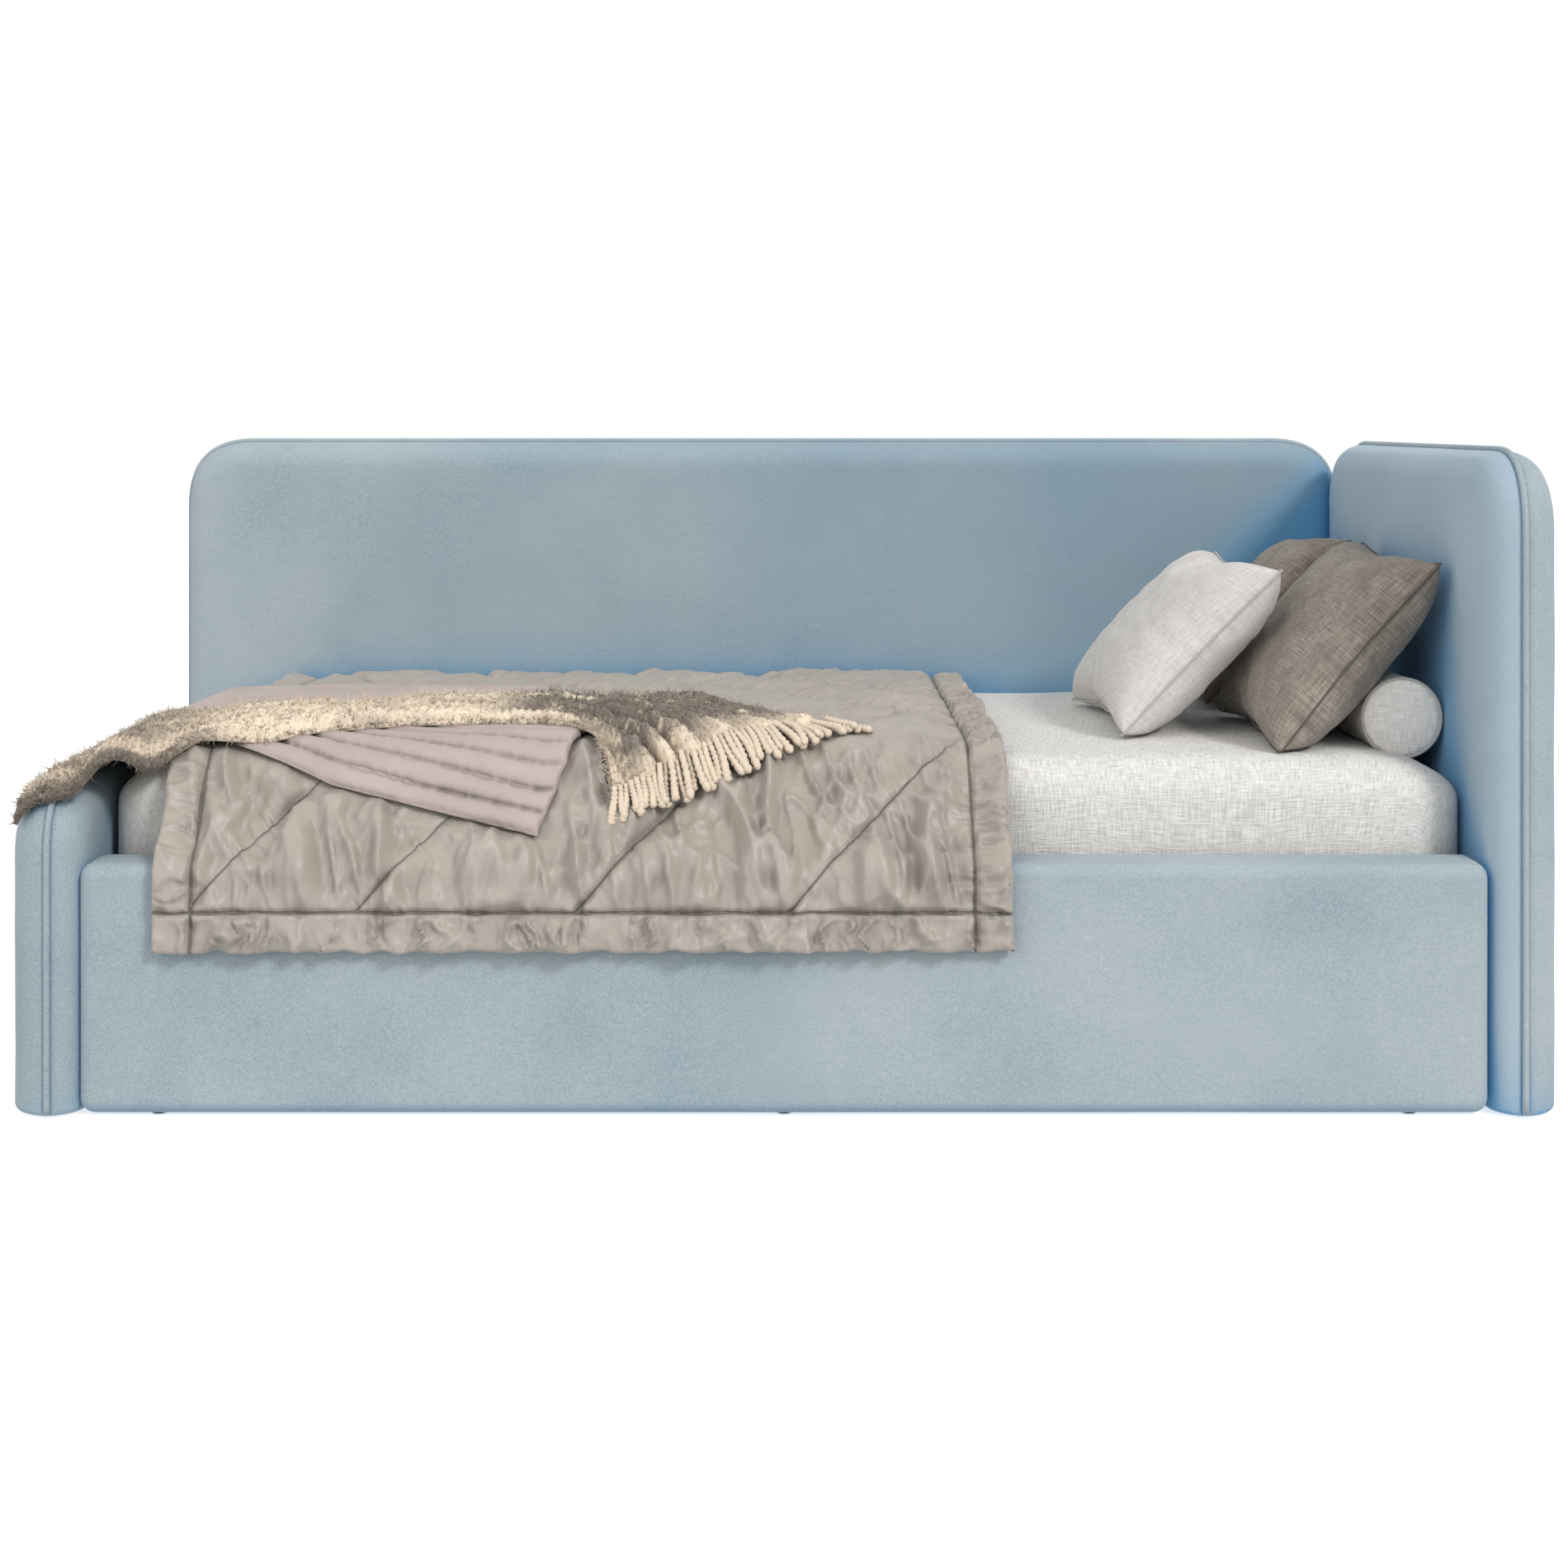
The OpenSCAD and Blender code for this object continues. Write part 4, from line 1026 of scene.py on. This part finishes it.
def over_corner(y):
    """How far forward cloth lies, and how far it drops, over the foot panel's round front corner."""
    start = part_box("foot_panel_outer_pad")[0].y + LOW_CORNER
    angles = np.radians(np.linspace(90, 0, 40))
    c, s = np.cos(angles), np.sin(angles)
    radius = LOW_CORNER + OVER_CORNER
    reach = radius * corner_reach(c, s, CORNER_POWER)
    line = np.stack([start - c * reach, radius - s * reach], -1)
    run = run_along(line)
    past = np.maximum(start - y, 0)
    return np.where(y > start, y, np.interp(past, run, line[:, 0])), np.interp(past, run, line[:, 1])


def throw_surface(x, y, lift):
    """Places of cloth at an unrolled place (x, y), lifted off the layers below it."""
    d = BED_BACK - y
    base = bed_surface(np.maximum(x, -0.96), np.clip(d, 0, QUILT_LENGTH))
    base = base + bed_normal(d) * lift[..., None]
    foot_x, foot_z = foot_profile(x, THROW_TOP, OVER_FOOT)
    rolled_y, drop = over_corner(y)
    over = np.stack([foot_x, rolled_y, foot_z + 0.15 * lift - drop], -1)
    over[..., 0] += 0.010 * eased(-x, 1.04, 1.12)
    share = eased(-x, *THROW_CROSSES)[..., None]
    return base * (1 - share) + over * share


def throw_places(s, w):
    """Unrolled place on the bed for shares s along the throw and w across it."""
    stations = np.array(THROW_STATIONS)
    along = s * (len(stations) - 1)
    number = np.arange(len(stations))
    places = []
    for axis in (0, 1):
        front, rear = (np.interp(along, number, stations[:, side, axis]) for side in (0, 1))
        places.append(front + (rear - front) * w)
    return places


def throw_relief(s, w):
    """Folds along the throw, its fan of soft pleats and its crosswise ribs."""
    fan = eased(s, 0.68, 0.86)
    bunched = eased(s, 0.30, 0.44) * (1 - fan)
    drift = w + 0.05 * np.sin(9 * s) + 0.03 * np.sin(23 * s + 1)
    folds = 0.016 * bunched * (ridges(drift, s, 0.17, 0.34, 601) - 0.25)
    folds += 0.042 * fan * (ridges(drift, s, 0.085, 0.40, 602) - 0.3)
    calm = 0.3 + 0.7 * eased(s, 0.2, 0.34)
    folds += calm * (0.006 * soft_noise(s, w, 0.05, 0.16, 603) + 0.003 * soft_noise(s, w, 0.02, 0.06, 604))
    crown = 0.016 * np.sqrt(unit(np.sin(math.pi * w))) * bunched
    ribs = 0.0016 * np.sin(2 * math.pi * s * RIBS + 3 * soft_noise(s, w, 0.05, 0.2, 605)) * (1 - fan)
    ribs += 0.0028 * eased(s, 0.76, 0.93) * (np.abs(np.sin(math.pi * w * TASSELS)) - 0.5)
    nap = 0.0022 * soft_noise(s, w, 0.006, 0.014, 606)
    return folds + crown + ribs + nap


def throw_grid(rows, cols):
    """Middle surface, normals and shares of the whole throw."""
    s, w = np.meshgrid(np.linspace(0, 1, rows), np.linspace(0, 1, cols), indexing="ij")
    x, y = throw_places(s, w)
    for _ in range(6):
        for place in (x, y):
            place[1:-1] = 0.25 * place[:-2] + 0.5 * place[1:-1] + 0.25 * place[2:]
    middle = throw_surface(x, y, np.full_like(x, THROW_LIFT))
    return s, w, x, y, middle, upward_normals(middle)


def build_throw():
    """Brushed mohair throw: it crosses the foot panel, is bunched along the bed and fans out."""
    s, w, x, y, middle, normal = throw_grid(*THROW_GRID)
    relief = throw_relief(s, w)
    rim = np.minimum(np.minimum(w, 1 - w) * 14, np.minimum(s, 1 - s) * 90)
    rim = round_rim(rim)
    upper = middle + normal * ((0.006 + relief) * rim + 0.0006)[..., None]
    lower = middle + normal * (np.minimum(relief * 0.5, 0) * rim - 0.0035 * rim - 0.0006)[..., None]
    uv = np.stack([s, w], -1)
    cloth = cover("throw_cloth", upper, lower, WOOL, uv, "base", "wool", "throw_blanket")
    fringe = build_fringe(x, y)
    fuzz = build_fuzz(upper, normal, s, w)


def build_fringe(x, y):
    """Twisted tassels along the throw's fanned end."""
    draw = np.random.default_rng(61)
    points, faces, places = [], [], []
    end_x, end_y = x[-1], y[-1]
    run = run_along(np.stack([end_x, end_y], -1))
    for place in (np.arange(TASSELS) + 0.5) / TASSELS * run[-1]:
        start_x, start_y = np.interp(place, run, end_x), np.interp(place, run, end_y)
        dx = start_x - np.interp(place, run, x[-12])
        dy = start_y - np.interp(place, run, y[-12])
        size = math.hypot(dx, dy)
        hang = 0.75 * (1 - place / run[-1])
        turn = math.atan2(dy / size * (1 - hang) - hang, dx / size * (1 - hang)) + draw.normal(0, 0.09)
        dx, dy = math.cos(turn), math.sin(turn)
        length = draw.uniform(*TASSEL_LENGTHS)
        steps = np.linspace(-0.010, length, TASSEL_STEPS)
        sway = 0.004 * np.sin(steps / length * 3 + draw.uniform(0, 6)) * steps / length
        tx = start_x + dx * steps - dy * sway
        ty = start_y + dy * steps + dx * sway
        lift = 0.030 + 0.008 * hang + 0.005 * draw.uniform(-1, 1) - 0.005 * steps / length
        line = throw_surface(tx, ty, lift)
        twist = 1 + 0.24 * np.sin(steps * 900 + draw.uniform(0, 6))
        radius = TASSEL_R * twist * (0.85 + 0.3 * steps / length)
        radius[-1] *= 0.35
        ring_points, ring_faces = tube(line, radius, TASSEL_SIDES)
        base = len(points)
        points.extend(ring_points.tolist())
        faces.extend([[base + i for i in f] for f in ring_faces])
        places.extend([(place, step) for step in np.repeat(steps, TASSEL_SIDES)])
    piece = mesh_object("throw_fringe", points, faces, FRINGE, places)
    return ride(piece, "base", "wool")


def build_fuzz(upper, normal, s, w):
    """Fine curled hairs that stand off the throw's nap."""
    draw = np.random.default_rng(62)
    count = HAIRS
    rows, cols = s.shape
    pick_r = draw.integers(2, rows - 2, count)
    pick_c = draw.integers(0, cols, count)
    on_edge = draw.uniform(0, 1, count) < 0.22
    pick_c = np.where(on_edge, draw.choice([0, 1, cols - 2, cols - 1], count), pick_c)
    root = upper[pick_r, pick_c]
    out = normal[pick_r, pick_c] + draw.normal(0, 0.75, (count, 3))
    out /= np.linalg.norm(out, axis=1, keepdims=True)
    bend = np.cross(out, draw.normal(0, 1, (count, 3)))
    length = draw.uniform(*HAIR_LENGTHS, count)[:, None]
    across = np.cross(out, bend)
    points, faces = [], []
    for reach, width in HAIR_STEPS:
        centre = root + out * length * reach + bend * length * 0.5 * reach**2
        for angle in (0, 2 * math.pi / 3, 4 * math.pi / 3):
            points.append(centre + (bend * math.cos(angle) + across * math.sin(angle)) * width)
    first = np.arange(count) * len(points)
    for low in (0, 3):
        for k in range(3):
            n = (k + 1) % 3
            corners = [first + low + k, first + low + n, first + low + n + 3, first + low + k + 3]
            faces += np.stack(corners, -1).tolist()
    for ends in ((2, 1, 0), (6, 7, 8)):
        faces += np.stack([first + k for k in ends], -1).tolist()
    shares = np.stack([s[pick_r, pick_c], w[pick_r, pick_c]], -1).repeat(len(points), 0)
    piece = mesh_object("throw_fuzz", np.stack(points, 1), faces, WOOL, shares)
    return ride(piece, "base", "wool")


# ---- cushions and bolster

CUSHION_CELL = 0.0085
# How much of the simulated form is blended with the drawn one
SIMULATED = 0.4
FRAMES = 22
CLOTH = {
    "quality": 5, "mass": 0.2, "tension_stiffness": 30, "compression_stiffness": 30, "shear_stiffness": 8,
    "bending_stiffness": 0.08, "use_pressure": True, "uniform_pressure_force": 5.0,
}
# The cushions stop at the head panel's face and at the top of the bed
HEAD_FACE = 1.006
BED_TOP = 0.503
SEAM_R = 0.0016
# Shares of the bolster's radius, and how far its end stands out there
BOLSTER_END = ((0.002, 0.004), (0.3, 0.004), (0.6, 0.003), (0.85, 0.001), (0.96, -0.001))

def bag_grid(width, height, cells_u, cells_v):
    """A flat cushion cover: two sheets sewn along their rim. Returns points, faces, places and rim."""
    u, v = np.meshgrid(np.linspace(-0.5, 0.5, cells_u + 1), np.linspace(-0.5, 0.5, cells_v + 1))
    lens = 0.012 * (1 - (2 * u) ** 2) * (1 - (2 * v) ** 2)
    front = np.stack([u * width, v * height, lens], -1)
    back = np.stack([u * width, v * height, -lens], -1)
    rows, cols = u.shape
    index = np.arange(rows * cols).reshape(rows, cols)
    other = index + rows * cols
    for edge in (np.s_[0, :], np.s_[-1, :], np.s_[:, 0], np.s_[:, -1]):
        other[edge] = index[edge]
    faces = np.concatenate([grid_quads(index), grid_quads(other)[:, [0, 3, 2, 1]]])
    used = np.unique(faces)
    renumber = np.zeros(2 * rows * cols, int)
    renumber[used] = np.arange(len(used))
    points = np.concatenate([front.reshape(-1, 3), back.reshape(-1, 3)])[used]
    return points, renumber[faces], points[:, :2], renumber[grid_rim(index)]


def blow_up(piece):
    """Fills a sewn cover by cloth simulation and returns its new points."""
    cloth = piece.modifiers.new("cloth", "CLOTH")
    for name, value in CLOTH.items():
        setattr(cloth.settings, name, value)
    cloth.settings.effector_weights.gravity = 0
    cloth.collision_settings.use_collision = False
    cloth.point_cache.frame_start = 1
    cloth.point_cache.frame_end = FRAMES
    scene = bpy.context.scene
    for number in range(1, FRAMES + 1):
        scene.frame_set(number)
    filled = piece.evaluated_get(bpy.context.evaluated_depsgraph_get())
    mesh = filled.to_mesh()
    points = np.zeros(len(mesh.vertices) * 3)
    mesh.vertices.foreach_get("co", points)
    filled.to_mesh_clear()
    piece.modifiers.remove(cloth)
    scene.frame_set(1)
    return points.reshape(-1, 3)


def add_subdivision(piece):
    """One applied subdivision."""
    piece.modifiers.new("smooth", "SUBSURF").levels = 1
    bpy.context.view_layer.objects.active = piece
    bpy.ops.object.modifier_apply(modifier="smooth")


def build_cushion(name, node, corners, thickness, material, seam_material, slot, seed):
    """A sewn cushion. corners are its near low, near high, far low and far high corners."""
    near_low, near_high, far_low, far_high = (np.array(c, float) for c in corners)
    width = np.linalg.norm(near_high - far_high)
    height = np.linalg.norm(near_high - near_low)
    cells = int(width / CUSHION_CELL), int(height / CUSHION_CELL)
    points, faces, places, rim = bag_grid(width, height, *cells)
    piece = mesh_object(name, points, faces.tolist(), material, places)
    u, v = 2 * points[:, 0] / width, 2 * points[:, 1] / height
    plump = unit((1 - np.abs(u) ** 4.5) * (1 - np.abs(v) ** 4.5)) ** 0.5
    points = points * np.stack([1 - 0.045 * (1 - v**2), 1 - 0.045 * (1 - u**2), np.ones_like(u)], -1)
    points[:, 2] = np.sign(points[:, 2]) * plump * 0.42 * thickness
    piece.data.vertices.foreach_set("co", points.ravel())
    piece.data.update()
    filled = blow_up(piece)
    filled[:, 2] *= np.abs(points[:, 2]).max() / np.abs(filled[:, 2]).max()
    points = points + SIMULATED * (filled - points)
    half_u, half_v = np.abs(points[:, 0]).max(), np.abs(points[:, 1]).max()
    depth = np.abs(points[:, 2]).max()
    u = points[:, 0] / half_u / 2 + 0.5
    v = points[:, 1] / half_v / 2 + 0.5
    w = points[:, 2] / depth * thickness / 2
    low = far_low + (near_low - far_low) * u[:, None]
    high = far_high + (near_high - far_high) * u[:, None]
    face_normal = np.cross(near_low - far_low, far_high - far_low)
    face_normal /= np.linalg.norm(face_normal)
    world = low + (high - low) * v[:, None] + face_normal * w[:, None]
    crease = 0.0016 * soft_noise(places[:, 0] + places[:, 1], places[:, 1], 0.05, 0.022, seed)
    crease += 0.0022 * (ridges(places[:, 0], places[:, 1], 0.07, 0.05, seed + 1) - 0.4)
    inside = unit(np.abs(w) / 0.02) * np.sign(w)
    world += face_normal * (crease * inside)[:, None]
    world[:, 0] = soft_limit(world[:, 0], HEAD_FACE, 0.003)
    world[:, 2] = -soft_limit(-world[:, 2], -BED_TOP, 0.002)
    piece.data.vertices.foreach_set("co", world.ravel())
    piece.data.update()
    add_subdivision(piece)
    fix_normals(piece)
    ride(piece, "base", slot, node)
    loop = world[rim]
    loop = np.concatenate([loop, loop[:2]])
    seam = mesh_object(name + "_seam", *tube(loop, SEAM_R, 6), seam_material)
    ride(seam, "base", slot)


def round_ring(centre, radius, angles, y):
    """Points round a centre, given as (x, z), at a place along Y."""
    x, z = centre[0] + radius * np.cos(angles), centre[1] + radius * np.sin(angles)
    return np.stack([x, np.full(len(angles), y), z], -1)


def build_bolster():
    """Round bolster with a piped seam at each end."""
    low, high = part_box("bolster")
    centre = (low.x + high.x) / 2, (low.z + high.z) / 2
    radius = (high.x - low.x) / 2 - 0.001
    y0, y1 = low.y, high.y
    sides = 120
    profile = [(share, y0 - out) for share, out in BOLSTER_END]
    profile += [(1.0, y) for y in np.linspace(y0 + 0.006, y1 - 0.006, 90)]
    profile += [(share, y1 + out) for share, out in reversed(BOLSTER_END)]
    angle = np.arange(sides) * 2 * math.pi / sides
    rings = []
    for share, y in profile:
        wrinkle = 0.0012 * soft_noise(angle * 8 / math.pi, np.full(sides, y), 1.0, 0.05, 701)
        wrinkle += 0.0014 * soft_noise(angle * 24 / math.pi, np.full(sides, y), 1.0, 0.02, 702)
        r = radius * share * (1 - 0.012) + wrinkle * share
        rings.append(round_ring(centre, r, angle, y))
    rings = np.array(rings)
    rings[..., 2] = -soft_limit(-rings[..., 2], -(low.z + 0.001), 0.002)
    points, faces = tube_parts(rings)
    run = np.array([y for _, y in profile])
    places = np.stack(np.broadcast_arrays(angle[None, :] * radius, run[:, None]), -1)
    ends = np.array([share for share, _ in profile]) < 0.99
    flat = np.stack([rings[..., 0], rings[..., 2]], -1)
    places = np.where(ends[:, None, None], flat, places)
    piece = mesh_object("bolster_cover", points, faces, BOLSTER_LINEN_PAINTED_LIGHT, places)
    fix_normals(piece)
    ride(piece, "base", "linen", "bolster")
    cords = []
    for y in (y0 + 0.003, y1 - 0.003):
        turn = np.arange(sides + 2) * 2 * math.pi / sides
        cords.append(tube(round_ring(centre, radius * 0.985, turn, y), 0.003, 8))
    first, second = cords
    base = len(first[0])
    faces = [list(f) for f in first[1]] + [[base + i for i in f] for f in second[1]]
    cord = mesh_object("bolster_piping", np.concatenate([first[0], second[0]]), faces, LINEN_SEAM)
    ride(cord, "base", "linen")


def build_cushions():
    """White cushion in front, a taupe one against the head panel and one behind it."""
    build_cushion(
        "white_cushion", "cushion_white",
        ((0.525, -0.25, 0.504), (0.776, -0.25, 0.764), (0.503, 0.20, 0.508), (0.754, 0.20, 0.766)),
        0.150, PILLOW_LINEN, LINEN_SEAM, "linen", 801,
    )
    build_cushion(
        "taupe_cushion_front", "cushion_taupe_front",
        ((0.735, -0.400, 0.492), (0.990, -0.37, 0.782), (0.735, 0.06, 0.508), (0.982, 0.08, 0.790)),
        0.150, TAUPE_LINEN, TAUPE_SEAM, "taupe_linen", 811,
    )
    build_cushion(
        "taupe_cushion_rear", "cushion_taupe_rear",
        ((0.725, 0.125, 0.51), (0.975, 0.135, 0.79), (0.70, 0.40, 0.512), (0.944, 0.405, 0.772)),
        0.12, TAUPE_LINEN, TAUPE_SEAM, "taupe_linen", 821,
    )


# ---- CAD nodes that stay


def dress_frame():
    """Materials for the CAD nodes that keep their own shape."""
    kinds = {
        TIMBER: ("head_panel_core", "foot_panel_core", "back_panel_core", "support_ledgers", "floor_bearers",
                 "front_rail_board", "slats"),
        BOARD: ("box_rear_board", "box_head_board", "box_foot_board", "storage_floor"),
        PLASTIC: ("centre_feet", "panel_glides", "slat_holders", "pull_strap"),
        RUBBER: ("rest_buffers",),
        ZINC: ("corner_brackets", "bracket_screws", "panel_bolts", "plate_bolts", "pivot_studs",
               "strut_ball_studs", "hinge_pins", "mattress_stop", "strut_rod_left", "strut_rod_right"),
        STEEL: ("lift_plate_left", "lift_plate_right", "lift_arm_left", "lift_arm_right", "sync_tube",
                "control_arm_left", "control_arm_right", "base_frame", "hinge_brackets"),
        STRUT: ("strut_cylinder_left", "strut_cylinder_right"),
    }
    for material, nodes in kinds.items():
        for node in nodes:
            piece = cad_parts[node]
            piece.data.materials.clear()
            piece.data.materials.append(material)


# ---- scene

VELVET = velvet("velvet_panels", PANEL_STREAKS)
VELVET_BACK = velvet("velvet_back", PANEL_STREAKS, True)
# The head panel's inner pads have painted light and blue shade mixed in
VELVET_HEAD = velvet("velvet_head", PANEL_STREAKS, painted_light_share=0.5)
VELVET_FOOT = velvet("velvet_foot", PANEL_STREAKS, hollows=0.35, reach=0.08)
VELVET_RAIL = velvet("velvet_rail", (90, 90, 240), hollows=0.35, reach=0.08)
PIPING = velvet("velvet_piping", (160, 160, 160), hollows=0.0, reach=0.01)
SHEET_LINEN = linen("sheet_linen", (0.78, 0.765, 0.735), (0.50, 0.485, 0.46), 0.12, 0.8, 0.6)
SATIN = satin("quilt_satin", (0.41, 0.366, 0.32), (0.355, 0.314, 0.272), 0.2, 0.44, 0.62, True)
PINK = satin("coverlet_cotton", (0.47, 0.395, 0.36), (0.385, 0.32, 0.29), 0.15, 0.6)
PILLOW_LINEN = linen("pillow_linen", (0.66, 0.64, 0.61), (0.50, 0.475, 0.45), 0.12, 0.9, 0.5)
# Painted light: a lighter copy of the white linen, brighter than the sheet's, standing in for light the
# bolster lacks in the head panel's shade
BOLSTER_LINEN_PAINTED_LIGHT = linen("bolster_linen", (0.90, 0.86, 0.82), (0.68, 0.64, 0.60), 0.12, 0.9, 0.5)
LINEN_SEAM = linen("linen_seam", (0.50, 0.48, 0.455), (0.36, 0.34, 0.32), 0.1, 1.0, 0.3)
TAUPE_LINEN = linen("taupe_linen", (0.335, 0.288, 0.245), (0.150, 0.126, 0.102), 0.75, 0.7, 0.6)
TAUPE_SEAM = linen("taupe_seam", (0.10, 0.085, 0.07), (0.07, 0.06, 0.05), 0.2, 1.0, 0.3)
WOOL = mohair("throw_wool")
FRINGE = mohair("throw_fringe_wool", plain=True)
TIMBER = grained("pine", (0.62, 0.46, 0.28), (0.42, 0.27, 0.14), (3, 40, 40))
BOARD = grained("laminated_board", (0.72, 0.68, 0.6), (0.62, 0.57, 0.48), (2, 30, 30), 0.5)
PLASTIC = moulded("black_plastic", (0.02, 0.02, 0.022), 0.5)
RUBBER = moulded("rubber", (0.015, 0.015, 0.015), 0.85)
ZINC = metal("zinc_plate", (0.62, 0.63, 0.64), 0.32)
STEEL = metal("grey_steel", (0.13, 0.135, 0.14), 0.42, 0.6)
STRUT = metal("black_steel", (0.02, 0.02, 0.02), 0.3, 0.4)

add_camera()
add_studio()
build_panels()
build_rail()
build_mattress()
build_quilt()
build_coverlet()
build_throw()
build_bolster()
build_cushions()
dress_frame()
